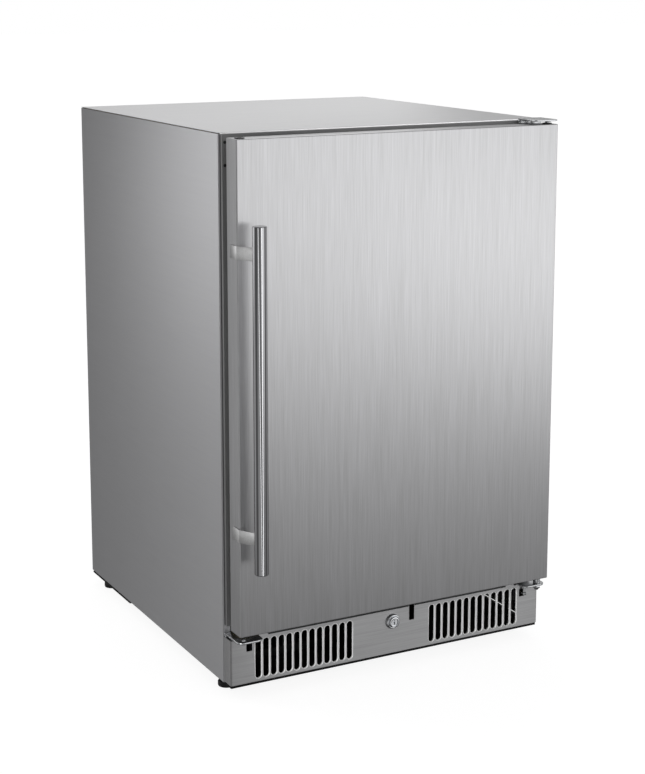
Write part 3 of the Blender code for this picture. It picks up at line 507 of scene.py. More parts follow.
# ---------------------------------------------------------------- sizes and colours to change
class FridgeSizes(bpy.types.PropertyGroup):
    """Sizes of the finer pieces"""
    sheet: FloatProperty(name="Outer sheet", description="Thickness of the cabinet's outer steel",
                         default=0.001, unit="LENGTH")
    bend: FloatProperty(name="Cabinet bend", description="Outside radius of the cabinet's bends",
                        default=0.0025, unit="LENGTH")
    hem: FloatProperty(name="Return flange", description="Width of the cabinet's folded flanges",
                       default=0.012, unit="LENGTH")
    seam: FloatProperty(name="Top seam", description="Open seam between side panel and top",
                        default=0.0009, unit="LENGTH")
    door_sheet: FloatProperty(name="Door sheet", description="Thickness of the door's outer steel",
                              default=0.0009, unit="LENGTH")
    door_bend: FloatProperty(name="Door edge", description="Radius of the door's upright edges",
                             default=0.0022, unit="LENGTH")
    door_fold: FloatProperty(name="Door fold", description="Radius of the folds at the door's top and bottom",
                             default=0.0012, unit="LENGTH")
    bar_end: FloatProperty(name="Bar end", description="Rounding of the handle bar's ends",
                           default=0.0012, unit="LENGTH")
    bar_sides: IntProperty(name="Bar facets", description="Facets round the handle bar", default=96, min=12)
    hinge_sheet: FloatProperty(name="Hinge sheet", description="Thickness of the hinge plates",
                               default=0.0030, unit="LENGTH")
    seal_width: FloatProperty(name="Seal width", description="Width of the door's magnetic seal",
                              default=0.018, unit="LENGTH")
    slot_pitch: FloatProperty(name="Slot pitch", description="Distance from one grille slot to the next",
                              default=0.01335, unit="LENGTH")
    slot_width: FloatProperty(name="Slot width", description="Width of a grille slot",
                              default=0.01155, unit="LENGTH")
    slot_lip: FloatProperty(name="Slot lip", description="Rounding of the edges of the grille's slots",
                            default=0.0005, unit="LENGTH")


def tone(name, description, code):
    """A colour property with an sRGB hex default."""
    return FloatVectorProperty(name=name, description=description, subtype="COLOR", size=4, min=0, max=1,
                               default=linear(code))


class FridgeColours(bpy.types.PropertyGroup):
    """The two tones that each main finish varies between"""
    door_dark: tone("Door, dark", "Darker grain of the door's steel", "#bcbcbd")
    door_light: tone("Door, light", "Lighter grain of the door's steel", "#cfcfd1")
    side_dark: tone("Side, dark", "Darker grain of the side panels", "#b7b7b9")
    side_light: tone("Side, light", "Lighter grain of the side panels", "#bcbcbe")
    top_dark: tone("Top, dark", "Darker grain of the top panel", "#cacacb")
    top_light: tone("Top, light", "Lighter grain of the top panel", "#d6d6d7")
    grille_dark: tone("Grille, dark", "Darker grain of the kick grille", "#9e9e9f")
    grille_light: tone("Grille, light", "Lighter grain of the kick grille", "#adadae")
    bar_dark: tone("Bar, dark", "Darker tone of the handle bar", "#98989a")
    bar_light: tone("Bar, light", "Lighter tone of the handle bar", "#a2a2a4")
    liner_dark: tone("Liner, dark", "Darker tone of the inside", "#e9eae8")
    liner_light: tone("Liner, light", "Lighter tone of the inside", "#f1f1ef")
    strip_dark: tone("Frame strip, dark", "Darker tone of the strip round the opening", "#858586")
    strip_light: tone("Frame strip, light", "Lighter tone of the strip round the opening", "#8f8f90")
    seal_dark: tone("Seal, dark", "Darker tone of the door's seal", "#262627")
    seal_light: tone("Seal, light", "Lighter tone of the door's seal", "#333334")


class FridgeStudio(bpy.types.PropertyGroup):
    """Floor, lights and camera"""
    floor_colour: tone("Floor glow colour", "Colour of the light that the floor gives off", "#ffffff")
    floor_size: FloatProperty(name="Floor size", description="Side of the square floor", default=60.0,
                              unit="LENGTH")
    floor_glow: FloatProperty(name="Floor glow", description="Light that the floor gives off", default=0.9,
                              min=0)
    power: FloatProperty(name="Light", description="Factor on every light", default=1.0, min=0)
    lens: FloatProperty(name="Lens", description="Focal length", default=78.81, unit="CAMERA")
    shift: FloatProperty(name="Rise", description="Vertical shift of the lens", default=-0.14)
    position: FloatVectorProperty(name="Camera", description="Place of the camera", subtype="TRANSLATION",
                                  unit="LENGTH", default=(-1.3048, -2.4881, 1.0905))
    pan: FloatProperty(name="Pan", description="Turn of the camera from +Y towards +X", subtype="ANGLE",
                       default=math.radians(27.96))
    tilt: FloatProperty(name="Tilt", description="Angle of the camera below level", subtype="ANGLE",
                        default=math.radians(10.03))


# ---------------------------------------------------------------- the pieces
class FridgeFinishes(bpy.types.Operator):
    """Make every finish"""
    bl_idname = "fridge.finishes"
    bl_label = "Finishes"

    def execute(self, context):
        make_materials(context.scene.fridge_colours)
        return {"FINISHED"}


class FridgeKept(bpy.types.Operator):
    """Give the nodes that keep their shape a finish and softened edges"""
    bl_idname = "fridge.kept"
    bl_label = "Kept pieces"

    def execute(self, context):
        groups = {
            "strip": (("front_frame", 0.0005),),
            "liner": (("inner_liner", 0.0035), ("door_liner", 0.0030), ("shelf_rail_left", 0.0012),
                      ("shelf_rail_right", 0.0012), ("evaporator_cover", 0.0022), ("drip_tray", 0.0010),
                      ("evaporator_fan_blade", 0.0004)),
            "foam": (("foam_body", 0.0010), ("door_core", 0.0010)),
            "zinc": (("back_panel", 0.0004), ("control_box", 0.0020)),
            "coat": (("base_pan", 0.0005), ("compressor_plate", 0.0008), ("rear_cover", 0),
                     ("condenser", 0.0004), ("condenser_fan_shroud", 0.0005)),
            "enamel": (("compressor", 0.0012),),
            "black": (("cord_gland", 0.0002), ("control_panel", 0.0012), ("condenser_fan_blade", 0.0004),
                      ("condenser_fan_motor", 0.0012), ("evaporator_fan_motor", 0.0010)),
            "chrome": (("button_power", 0.0006), ("button_down", 0.0006), ("button_up", 0.0006)),
            "clear": (("door_bin_low", 0.0009), ("door_bin_mid", 0.0009), ("door_bin_top", 0.0009)),
            "glass": (("shelf_1", 0.0008), ("shelf_2", 0.0008), ("shelf_3", 0.0008)),
            "fins": (("evaporator", 0.0003),),
            "copper": (("filter_drier", 0.0002),),
            "lens": (("lamp_lens", 0.0020),),
            "plate": (("lock_cam", 0.0005), ("lock_strike", 0.0004)),
            "nylon": (("hinge_bush_bottom", 0.0002),),
        }
        for material, nodes in groups.items():
            for node, edge in nodes:
                keep(node, material, edge)
        return {"FINISHED"}


class FridgeCabinet(bpy.types.Operator):
    """Bent side panels and the top sheet"""
    bl_idname = "fridge.cabinet"
    bl_label = "Cabinet sheets"

    def execute(self, context):
        sizes = context.scene.fridge_sizes
        bend, sheet = sizes.bend, sizes.sheet
        inside = bend - sheet
        for side, node in ((-1, "side_panel_left"), (1, "side_panel_right")):
            low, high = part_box(node)
            half, front, rear = max(-low[0], high[0]), low[1], high[1]
            tip = half - sizes.hem
            outline = ([(tip, front)] + arc(half - bend, front + bend, bend, -90, 0, 8)
                       + arc(half - bend, rear - bend, bend, 0, 90, 8) + [(tip, rear), (tip, rear - sheet)]
                       + arc(half - bend, rear - bend, inside, 90, 0, 8)
                       + arc(half - bend, front + bend, inside, 0, -90, 8) + [(tip, front + sheet)])
            outline = outline if side > 0 else mirrored(outline)
            made = prism(outline, "Z", low[2], high[2] - sizes.seam + GAP)
            panel = as_object(f"side_sheet_{'left' if side < 0 else 'right'}", made)
            # the return flanges stop short of the top sheet's lips
            left, right = sorted((side * (half - bend - GAP), side * (half - sizes.hem - 0.002)))
            top, over = high[2], 0.001
            reach = sheet + 0.0004
            cut(panel, box((left, front - over, top - sizes.hem), (right, front + reach, top + over)),
                box((left, rear - reach, top - sizes.hem), (right, rear + over, top + over)))
            dress(panel, "side", "root", [node], 25)
        low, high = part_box("top_panel")
        front, rear, top, half = low[1], high[1], high[2], high[0]
        lip = low[2]
        outline = ([(front, lip)] + arc(front + bend, top - bend, bend, 180, 90, 10)
                   + arc(rear - bend, top - bend, bend, 90, 0, 10) + [(rear, lip), (rear - sheet, lip)]
                   + arc(rear - bend, top - bend, inside, 0, 90, 10)
                   + arc(front + bend, top - bend, inside, 90, 180, 10) + [(front + sheet, lip)])
        edge = half - bend - 2 * GAP
        sheet_top = prism(outline, "X", -edge, edge)
        soft = 0.0006
        for side in (-1, 1):
            ends = [(edge, top - sheet), (half - soft, top - sheet), (half, top - sheet + soft),
                    (half, top - soft), (half - soft * 0.3, top - soft * 0.3), (half - soft, top), (edge, top)]
            prism([(side * a, b) for a, b in ends], "Y", front + bend, rear - bend, sheet_top)
        panel = as_object("top_sheet", sheet_top)
        dress(panel, "top", "root", ["top_panel"], 25)
        return {"FINISHED"}


class FridgeDoor(bpy.types.Operator):
    """Folded steel tray of the door with its bush, plug and holes"""
    bl_idname = "fridge.door"
    bl_label = "Door skin"

    def execute(self, context):
        sizes = context.scene.fridge_sizes
        low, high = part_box("door_skin")
        half, front, back, bottom, top = high[0], low[1], high[1], low[2], high[2]
        bend, fold, sheet = sizes.door_bend, sizes.door_fold, sizes.door_sheet

        def section(inset, height):
            radius = bend - inset * 0.5
            outline = ([(-half + inset, back)]
                       + arc(-half + inset + radius, front + inset + radius, radius, 180, 270, 8)
                       + arc(half - inset - radius, front + inset + radius, radius, 270, 360, 8)
                       + [(half - inset, back)])
            return [(a, b, height) for a, b in outline]

        turns = [math.radians(90 * i / 6) for i in range(7)]
        loops = [section(fold * (1 - math.sin(t)), bottom + fold * (1 - math.cos(t))) for t in turns]
        loops += [section(fold * (1 - math.sin(t)), top - fold * (1 - math.cos(t))) for t in reversed(turns)]
        skin = as_object("door_tray", loft(loops))
        inner = rounded(-half + sheet, half - sheet, front + sheet, back + 0.02, bend - sheet, 6)
        cut(skin, prism(inner, "Z", bottom + sheet, top - sheet))
        # holes for the two bushes and for the plug of the spare hinge side
        bush_low, bush_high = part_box("hinge_bush_top")
        radius, through = (bush_high[0] - bush_low[0]) / 2 - 0.0010, 0.004
        pin_x, pin_y = centre_of("hinge_bush_top")[:2]
        cut(skin, *[turned([(radius, level - through), (radius, level + through)], (x, pin_y, 0), "Z", 32)
                    for x, level in ((pin_x, top), (pin_x, bottom), (-pin_x, top))])
        dress(skin, "door", "door", ["door_skin"], 25)

        rim, stem = radius + 0.0009, radius - GAP
        for name, node, x, bore in (("bush_upper", "hinge_bush_top", pin_x, 0.0036),
                                    ("bush_cap", "bush_plug", -pin_x, 0)):
            (_, _, tail), (_, _, flange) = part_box(node)
            profile = [(stem, tail), (stem, top + GAP), (rim, top + GAP), (rim, flange - 0.0004),
                       (rim - 0.0005, flange), (max(bore, 0.0030) + 0.0010, flange)]
            if bore:
                profile += [(bore, flange - 0.0010), (bore, tail)]
            else:
                profile += [(0.0030, flange - 0.0008), (0.0004, flange - 0.0008)]
            bush = turned(profile, (x, pin_y, 0), "Z", 48, closed=bool(bore))
            piece(name, bush, "nylon", "door", [node])
        return {"FINISHED"}


class FridgeSeal(bpy.types.Operator):
    """Magnetic seal: a pleated hollow strip round the back of the door"""
    bl_idname = "fridge.seal"
    bl_label = "Door seal"

    def execute(self, context):
        wide = context.scene.fridge_sizes.seal_width
        low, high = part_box("door_gasket")
        deep, corner = high[1] - low[1], 0.008
        # one side of the section: inset from the outer edge, share of the depth
        side = [(0.0030, 0.0), (0.0010, 0.10), (0.0006, 0.22), (0.0026, 0.36), (0.0006, 0.50), (0.0, 0.60),
                (0.0, 0.92), (0.0010, 1.0)]
        profile = side + [(wide - a, b) for a, b in reversed(side)]
        loops = []
        for inset, share in profile:
            outline = rounded(low[0] + inset, high[0] - inset, low[2] + inset, high[2] - inset,
                              corner - 0.22 * inset)
            loops.append([(a, low[1] + share * deep, b) for a, b in outline])
        piece("door_seal", loft(loops, closed=True), "seal", "door", ["door_gasket"], 50)
        return {"FINISHED"}


class FridgeHandle(bpy.types.Operator):
    """Round bar on two bent straps that clip round the door's edge"""
    bl_idname = "fridge.handle"
    bl_label = "Handle"

    def execute(self, context):
        sizes = context.scene.fridge_sizes
        low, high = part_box("handle_bar")
        radius, end = (high[0] - low[0]) / 2, sizes.bar_end
        x, y = (high[0] + low[0]) / 2, (high[1] + low[1]) / 2
        turns = [math.radians(90 * i / 5) for i in range(6)]
        profile = [(0.0004, low[2]), (radius - 2 * end, low[2])]
        profile += [(radius - end + end * math.sin(t), low[2] + end - end * math.cos(t)) for t in turns]
        profile += [(radius - end + end * math.cos(t), high[2] - end + end * math.sin(t)) for t in turns]
        profile += [(radius - 2 * end, high[2]), (0.0004, high[2])]
        piece("handle_round", turned(profile, (x, y, 0), "Z", sizes.bar_sides), "bar", "door",
              ["handle_bar"], 50)
        door_x, door_front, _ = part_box("door_skin")[0]
        inner, front = door_x - GAP, door_front - 0.0010
        # the strap lies along the door's side, then turns towards the middle of the bar
        centre, start = Vector((x, y)), Vector((inner, front))
        ahead = (centre - start).normalized()
        out = Vector((ahead.y, -ahead.x))
        near = centre - ahead * (radius + GAP)
        rivets, rivet = 4, 0.0023
        for end_name in ("top", "bottom"):
            node = f"handle_bracket_{end_name}"
            (left, _, bottom), (_, rear, top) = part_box(node)
            thick = inner - left
            shift = (Vector((left, front)) - start).dot(out)
            outline = fillet([(inner, rear), (inner, front), tuple(near), tuple(near + out * shift),
                              (left, front - 0.0006), (left, rear)], {1: 0.0006, 4: 0.0022})
            strap = soft_edges(prism(outline, "Z", bottom, top), 0.0003, 2)
            for k in range(rivets):
                middle = bottom + (top - bottom) * (k + 0.5) / rivets
                turned([(0.0008, -thick * 0.98), (0.0019, -thick * 0.8), (rivet, -thick * 0.3), (rivet, 0)],
                       (inner, rear - rivet, middle), "X", 20, strap)
            piece(f"strap_{end_name}", strap, "strap", "door", [node], 40)
        return {"FINISHED"}


class FridgeHinges(bpy.types.Operator):
    """Hinge plates with their screws, pins and washers, and the vacant left-hand seat"""
    bl_idname = "fridge.hinges"
    bl_label = "Hinges"

    def execute(self, context):
        pin_x, pin_y = centre_of("hinge_bush_top")[:2]
        self.upper(context.scene.fridge_sizes.hinge_sheet, pin_x, pin_y)
        self.lower(context.scene.fridge_sizes.hinge_sheet, pin_x, pin_y)
        return {"FINISHED"}

    def upper(self, thick, pin_x, pin_y):
        """Upper plate with its pin, screws and washer, and the plugs of the frame's spare holes"""
        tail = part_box("hinge_bush_top")[0][2]
        (inner, front, leg_low), (outer, back, top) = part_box("hinge_top_bracket")
        under, face, corner, leg = top - thick, top - 0.0004, 0.004, 0.0025
        outline = ([(inner, back)] + arc(inner + corner, front + corner, corner, 180, 270, 6)
                   + arc(outer - corner, front + corner, corner, 270, 360, 6) + [(outer, back)])
        plate = soft_edges(prism(outline, "Z", under, face), 0.0006)
        if leg_low <= under - 0.03:
            leg_low = under - 0.014
        join(plate, soft_edges(box((inner, back - leg, leg_low), (outer, back, top - 0.0006)), 0.0004, 2))
        pin = [(0.0028, tail + 0.003), (0.0034, tail + 0.004), (0.0034, under + 0.001)]
        turned(pin, (pin_x, pin_y, 0), "Z", 32, plate)
        piece("hinge_upper", plate, "plate", "root", ["hinge_top_bracket"], 40)
        fixings = bmesh.new()
        for dx in (-0.0214, -0.0040):
            screw_head(fixings, (pin_x + dx, pin_y + 0.030, face), "Z", 0.0035, 0.0004, 1)
        for dx in (-0.030, -0.006):
            middle = (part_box("door_skin")[1][2] + under) / 2 - 0.002
            screw_head(fixings, (pin_x + dx, back - leg - 0.0001, middle), "Y", 0.0028, 0.0012)
        # riveted head of the pin, and the washer under the plate
        dome = [(0.0052, -0.0003), (0.0050, 0.0001), (0.0040, 0.0003), (0.0022, 0.00038), (0.0003, 0.0004)]
        turned(dome, (pin_x, pin_y, face), "Z", 40, fixings)
        washer = [(0.0036, -0.0012), (0.0062, -0.0012), (0.0066, -0.0008), (0.0062, -0.0003), (0.0036, -0.0003)]
        turned(washer, (pin_x, pin_y, under), "Z", 40, fixings, True)
        piece("hinge_upper_fixings", fixings, "screw", "root", ["hinge_top_bracket"], 40)
        frame_low, frame_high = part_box("front_frame")
        plugs = bmesh.new()
        for drop in (0.012, 0.046):
            screw_head(plugs, (frame_low[0] + 0.0045, frame_low[1], frame_high[2] - drop), "Y", 0.0024, 0.0007)
        piece("spare_hole_plugs", plugs, "black", "root", (), 40)

    def lower(self, thick, pin_x, pin_y):
        """Lower plate with its pin, nut and stop, and the empty plate on the other side"""
        low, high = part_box("hinge_blank_left")
        level = high[2] - thick
        inner, outer, front, back = -high[0], -low[0], low[1], high[1]
        corner, leg = 0.010, 0.0025
        outline = ([(inner, back)] + arc(inner + corner, front + corner, corner, 180, 270, 12)
                   + arc(outer - corner, front + corner, corner, 270, 360, 12) + [(outer, back)])
        for side, name, node in ((1, "hinge_lower", "hinge_bottom_bracket"),
                                 (-1, "hinge_vacant", "hinge_blank_left")):
            plate_outline = outline if side > 0 else mirrored(outline)
            plate = as_object(name, soft_edges(prism(plate_outline, "Z", level, level + thick), 0.0007))
            if side < 0:
                hole = [(0.0035, level - 0.004), (0.0035, level + 0.006)]
                cut(plate, turned(hole, (-pin_x, pin_y, 0), "Z", 32))
            made = bmesh.new()
            made.from_mesh(plate.data)
            bpy.data.objects.remove(plate)
            left, right = sorted((side * (outer - 0.001), side * (outer - 0.034)))
            join(made, soft_edges(box((left, back - leg, low[2]), (right, back, level + 0.0025)), 0.0005, 2))
            if side > 0:
                self.pin_and_stop(made, level, pin_x, pin_y)
            for k in (0, 1):
                place = (side * (outer - 0.010 - 0.015 * k), back - leg - 0.0001, low[2] + 0.009 + 0.014 * k)
                screw_head(made, place, "Y", 0.0030, 0.0014)
            piece(name, made, "plate", "root", [node], 40)

    def pin_and_stop(self, made, level, pin_x, pin_y):
        """Turned pin through the lower plate, its hexagon nut, and the grooved stop beside it"""
        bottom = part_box("door_skin")[0][2]
        pin = [(0.0030, level - 0.0085), (0.0038, level - 0.0075), (0.0038, level + 0.0034),
               (0.0058, level + 0.0034), (0.0060, bottom - 0.0032), (0.0034, bottom - 0.0028),
               (0.0034, bottom + 0.011), (0.0028, bottom + 0.012)]
        turned(pin, (pin_x, pin_y, 0), "Z", 32, made)
        nut = [(0.0039, -0.0055), (0.0058, -0.0055), (0.0064, -0.0048), (0.0064, -0.0010), (0.0058, -0.0003),
               (0.0039, -0.0003)]
        turned(nut, (pin_x, pin_y, level), "Z", 6, made, True)
        stop = [(0.0010, -0.0200), (0.0030, -0.0196), (0.0034, -0.0180), (0.0034, -0.0150), (0.0024, -0.0140),
                (0.0024, -0.0030), (0.0040, -0.0026), (0.0040, -0.0003), (0.0010, -0.0003)]
        stop_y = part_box("kick_grille")[0][1] - 0.0052
        turned(stop, (pin_x - 0.0155, stop_y, level), "Z", 24, made)


class FridgeGrille(bpy.types.Operator):
    """Kick grille: folded sheet with two groups of lipped slots, notches and service holes"""
    bl_idname = "fridge.grille"
    bl_label = "Kick grille"

    def execute(self, context):
        sizes = context.scene.fridge_sizes
        lip, pitch, radius = sizes.slot_lip, sizes.slot_pitch, sizes.slot_width / 2
        low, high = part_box("kick_grille")
        half, front, rear, bottom, top = high[0], low[1], high[1], low[2], high[2]
        sheet, bend, over = 0.0012, 0.0025, 0.004
        outline = (arc(half - bend, front + bend, bend, -90, 0, 8) + [(half, rear), (half - sheet, rear)]
                   + arc(half - bend, front + bend, bend - sheet, 0, -90, 8))
        grille = as_object("grille_sheet", prism(outline + mirrored(outline), "Z", bottom, top))

        # two groups of slots, on either side of the lock
        first, last = 0.0758, half - 0.047
        slot_low, slot_high, slot_deep = 0.0288, 0.0928, 0.0025
        right = [first + pitch * i for i in range(int((last - first) / pitch + 1.01))]
        centres = [-x for x in reversed(right)] + right
        slots = bmesh.new()
        for x in centres:
            prism(stadium(x, slot_low, slot_high, radius), "Y", front - over, front + slot_deep + over, slots)

        # stepped corners for the hinge plates, square service holes, notch of the strike, bore of the lock
        plate_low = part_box("hinge_blank_left")[1][2] - sizes.hinge_sheet
        deep_cut, shallow = plate_low - 0.0022, plate_low + 0.0038
        step_in, step_end = half - 0.0475, half - 0.063
        hole_x, hole, hole_low, hole_high = half - 0.0315, 0.005, 0.0757, 0.0885
        tools = []
        for side in (-1, 1):
            step = [(half + 0.001, deep_cut), (step_in, deep_cut), (step_in, shallow), (step_end, shallow),
                    (step_end, top + over), (half + 0.001, top + over)]
            tools.append(prism([(side * a, b) for a, b in step], "Y", front - over, rear + 0.001))
            middle = side * hole_x
            tools.append(prism(rounded(middle - hole, middle + hole, hole_low, hole_high, 0.0006, 3), "Y",
                               front - over, front + 0.005))
        notch_x, notch_half, notch_low = 0.0380, 0.0048, 0.0737
        notch = rounded(notch_x - notch_half, notch_x + notch_half, notch_low, top + over, 0.0010, 4)
        tools.append(prism(notch, "Y", front - over, front + 0.006))
        lock_x, _, lock_z = centre_of("lock_bezel")
        lock_bore = 0.0092
        tools.append(turned([(lock_bore, -over), (lock_bore, 0.006)], (lock_x, front, lock_z), "Y", 48))
        cut(grille, slots, *tools)

        # drawn rims of the slots: growth of the slot's outline and depth behind the front
        section = ((0.0005, 0.0), (0.0004, -0.0003), (0.0, -0.0004), (-0.0003, -0.0003), (-lip, 0.0002),
                   (-lip, slot_deep), (0.0004, slot_deep), (0.0004, sheet), (0.0010, sheet * 0.9))
        collars = bmesh.new()
        for x in centres:
            rings = [[(a, front + depth, b)
                      for a, b in arc(x, slot_high - radius, radius + grow, 0, 180, 12)
                      + arc(x, slot_low + radius, radius + grow, 180, 360, 12)] for grow, depth in section]
            loft(rings, collars, closed=True)
        # the rims carry the lighter steel, a painted highlight on the slot walls
        piece("grille_collars", collars, "edge", "root", ["kick_grille"], 50)
        dress(grille, "kick", "root", ["kick_grille"], 25)

        # black strip along the grille's top under the door: a painted shadow that stands in for the shade in
        # the gap under the door
        strip = bmesh.new()
        section = [(front - 0.0010, top - 0.0106), (front - 0.0001, top - 0.0110),
                   (front - 0.0001, top - 0.0002), (front - 0.0010, top - 0.0008)]
        strip_end, notch_side = half - 0.064, notch_half + 0.0008
        for left, right in ((-strip_end, notch_x - notch_side), (notch_x + notch_side, strip_end)):
            prism(section, "X", left, right, strip)
        piece("painted_shadow_strip", strip, "black", "root")
        return {"FINISHED"}


class FridgeLock(bpy.types.Operator):
    """Chromed key lock: rim, barrel with its keyway"""
    bl_idname = "fridge.lock"
    bl_label = "Lock"

    def execute(self, context):
        x, _, z = centre_of("lock_bezel")
        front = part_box("kick_grille")[0][1]
        # sections: radius and distance from the grille's front
        rim = [(0.0091, -0.0040), (0.0098, -0.0046), (0.0107, -0.0045), (0.0116, -0.0035), (0.0122, -0.0020),
               (0.0125, -0.0010), (0.0125, -GAP), (0.0091, -GAP)]
        piece("lock_rim", turned(rim, (x, front, z), "Y", 72, closed=True), "chrome", "root",
              ["lock_bezel"], 50)
        low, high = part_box("lock_barrel")
        proud, radius = front - low[1], (high[0] - low[0]) / 2
        profile = [(0.0003, -proud + 0.0010), (0.0050, -proud + 0.0010), (0.0053, -proud + 0.0022),
                   (0.0063, -proud + 0.0022), (0.0066, -proud + 0.0001),
                   (radius - 0.0010, -proud), (radius - 0.0003, -proud + 0.0004), (radius, -proud + 0.0012),
                   (radius, high[1] - front)]
        barrel = as_object("lock_plug", turned(profile, (x, front, z), "Y", 72))
        # keyway: a tall slit with a ward beside it
        before = low[1] - 0.002
        cut(barrel, box((x - 0.0009, before, z - 0.0042), (x + 0.0009, low[1] + 0.006, z + 0.0042)),
            box((x - 0.0022, before, z - 0.0016), (x + 0.0003, low[1] + 0.005, z + 0.0008)))
        dress(barrel, "chrome", "lock", ["lock_barrel"], 40)
        return {"FINISHED"}


class FridgeFeet(bpy.types.Operator):
    """Levelling feet: rubber-faced pad under a threaded stem"""
    bl_idname = "fridge.feet"
    bl_label = "Feet"

    def execute(self, context):
        threads, root, crest, foot = 28, 0.0043, 0.0049, 0.0092
        for end in ("front", "rear"):
            for side in ("left", "right"):
                node, body = f"foot_{end}_{side}", f"{end}_{side}_foot"
                low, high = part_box(node)
                x, y, _ = centre_of(node)
                place = (x, y, low[2])
                radius, top = (high[0] - low[0]) / 2, high[2] - low[2] - 0.001
                pad = [(0.0003, 0.0), (radius - 0.0020, 0.0), (radius - 0.0006, 0.0006), (radius, 0.0020),
                       (radius, 0.0070), (radius - 0.0010, 0.0086), (radius - 0.0030, 0.0090), (0.0003, 0.0090)]
                piece(f"pad_{end}_{side}", turned(pad, place, "Z", 40), "rubber", body, [node])
                stem = [(0.0003, foot)]
                for k in range(threads):
                    level = foot + (top - foot) * k / threads
                    stem += [(root, level), (crest, level + 0.0006)]
                stem += [(root, top), (0.0003, top)]
                piece(f"stem_{end}_{side}", turned(stem, place, "Z", 20), "coat", body, [node])
        return {"FINISHED"}


class FridgeInside(bpy.types.Operator):
    """Fittings of the cooled space: shelf trims, fan guard, cover screws, display and lamp frame"""
    bl_idname = "fridge.inside"
    bl_label = "Inside fittings"

    def execute(self, context):
        for k in (1, 2, 3):
            low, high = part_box(f"shelf_{k}")
            trim = soft_edges(box((low[0] + 0.0003, low[1] - 0.0035, low[2] - 0.0030),
                                  (high[0] - 0.0003, low[1] + 0.0060, high[2] + 0.0022)), 0.0018, 4)
            piece(f"shelf_trim_{k}", trim, "liner", "root")
        low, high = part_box("evaporator_cover")
        fan = centre_of("evaporator_fan_blade")
        # wire guard in front of the fan: rings and spokes
        wire, spokes = 0.0010, 6
        guard = bmesh.new()
        for radius in (0.012, 0.021, 0.030, 0.039, 0.048):
            ring = [(radius + wire * math.cos(TURN * k / 8), -0.0006 + wire * math.sin(TURN * k / 8))
                    for k in range(8)]
            turned(ring, (fan[0], low[1], fan[2]), "Y", 48, guard, True)
        for k in range(spokes):
            a = TURN * k / spokes
            tube([(fan[0] + reach * math.cos(a), low[1] - proud, fan[2] + reach * math.sin(a))
                  for reach, proud in ((0.010, 0.0014), (0.030, 0.0016), (0.051, 0.0014))], wire, guard, 8)
        piece("fan_guard", guard, "liner", "root", (), 50)
        screw_grid("cover_screws", (low[0] + 0.012, high[0] - 0.012), (low[2] + 0.014, high[2] - 0.014),
                   low[1], 0.0042, 0.0018)
        low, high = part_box("control_panel")
        middle = (low[2] + high[2]) / 2
        glass = soft_edges(prism(rounded(-0.045, 0.030, middle - 0.011, middle + 0.011, 0.003, 6), "Y",
                                 low[1] - 0.0008, low[1] + 0.0004), 0.0003, 2)
        piece("display_window", glass, "display", "root")
        lights = bmesh.new()
        bars, step = 5, 0.011
        for k in range(bars):
            box((-0.034 + step * k, low[1] - 0.0010, middle - 0.0012),
                (-0.027 + step * k, low[1] - 0.0005, middle + 0.0012), lights)
        piece("display_lights", lights, "lit", "root")
        low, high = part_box("lamp_lens")
        frame_outer = rounded(low[0] - 0.004, high[0] + 0.004, low[1] - 0.004, high[1] + 0.004, 0.010, 8)
        frame_inner = rounded(low[0] - 0.0004, high[0] + 0.0004, low[1] - 0.0004, high[1] + 0.0004, 0.0082, 8)
        loops = [[(a, b, level) for a, b in outline] for outline, level in
                 ((frame_outer, high[2]), (frame_outer, high[2] - 0.0040), (frame_inner, high[2] - 0.0055),
                  (frame_inner, high[2]))]
        piece("lamp_frame", loft(loops, closed=True), "liner", "root", (), 40)
        return {"FINISHED"}


class FridgeDoorInside(bpy.types.Operator):
    """Rails over the door bins"""
    bl_idname = "fridge.door_inside"
    bl_label = "Door inside"

    def execute(self, context):
        for end in ("low", "mid", "top"):
            low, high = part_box(f"door_bin_{end}")
            rail = bmesh.new()
            outline = [(high[1] - 0.0030, high[2] - 0.0085), (high[1] + 0.0006, high[2] - 0.0085),
                       (high[1] + 0.0006, high[2] + 0.0008), (high[1] - 0.0030, high[2] + 0.0008)]
            prism(fillet(outline, {0: 0.0004, 1: 0.0012, 2: 0.0014, 3: 0.0014}, 4), "X", low[0], high[0], rail)
            piece(f"bin_rail_{end}", rail, "liner", "door", (), 50)
        return {"FINISHED"}


class FridgePlant(bpy.types.Operator):
    """Pipework of the refrigeration plant, and the screws of the back"""
    bl_idname = "fridge.plant"
    bl_label = "Plant details"

    def execute(self, context):
        low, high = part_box("back_panel")
        screw_grid("back_screws", (low[0] + 0.010, 0.0, high[0] - 0.010),
                   (low[2] + 0.010, (low[2] + high[2]) / 2, high[2] - 0.012),
                   high[1] - 0.0011, 0.0040, 0.0010, 1)
        low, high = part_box("rear_cover")
        screw_grid("cover_fixings", (low[0] + 0.010, high[0] - 0.010), (low[2] + 0.012, high[2] - 0.012),
                   high[1], 0.0040, 0.0018, 1)
        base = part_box("compressor")[0][2]
        x, y, _ = centre_of("compressor")
        drier_x, drier_y, _ = centre_of("filter_drier")
        drier_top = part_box("filter_drier")[1][2]
        pipes = bmesh.new()
        # discharge pipe from the compressor to the drier, then the suction pipe up to the evaporator
        tube([(x - 0.073, y, base + 0.110), (x - 0.086, y, base + 0.112),
              (drier_x + 0.014, drier_y - 0.010, drier_top + 0.028), (drier_x, drier_y, drier_top + 0.018),
              (drier_x, drier_y, drier_top - 0.004)], 0.0026, pipes)
        tube([(x - 0.060, y - 0.040, base + 0.070), (x - 0.080, y - 0.052, base + 0.072),
              (0.012, y - 0.056, base + 0.150), (-0.010, y - 0.056, 0.250)], 0.0032, pipes)
        piece("copper_pipes", pipes, "copper", "root", (), 60)
        return {"FINISHED"}


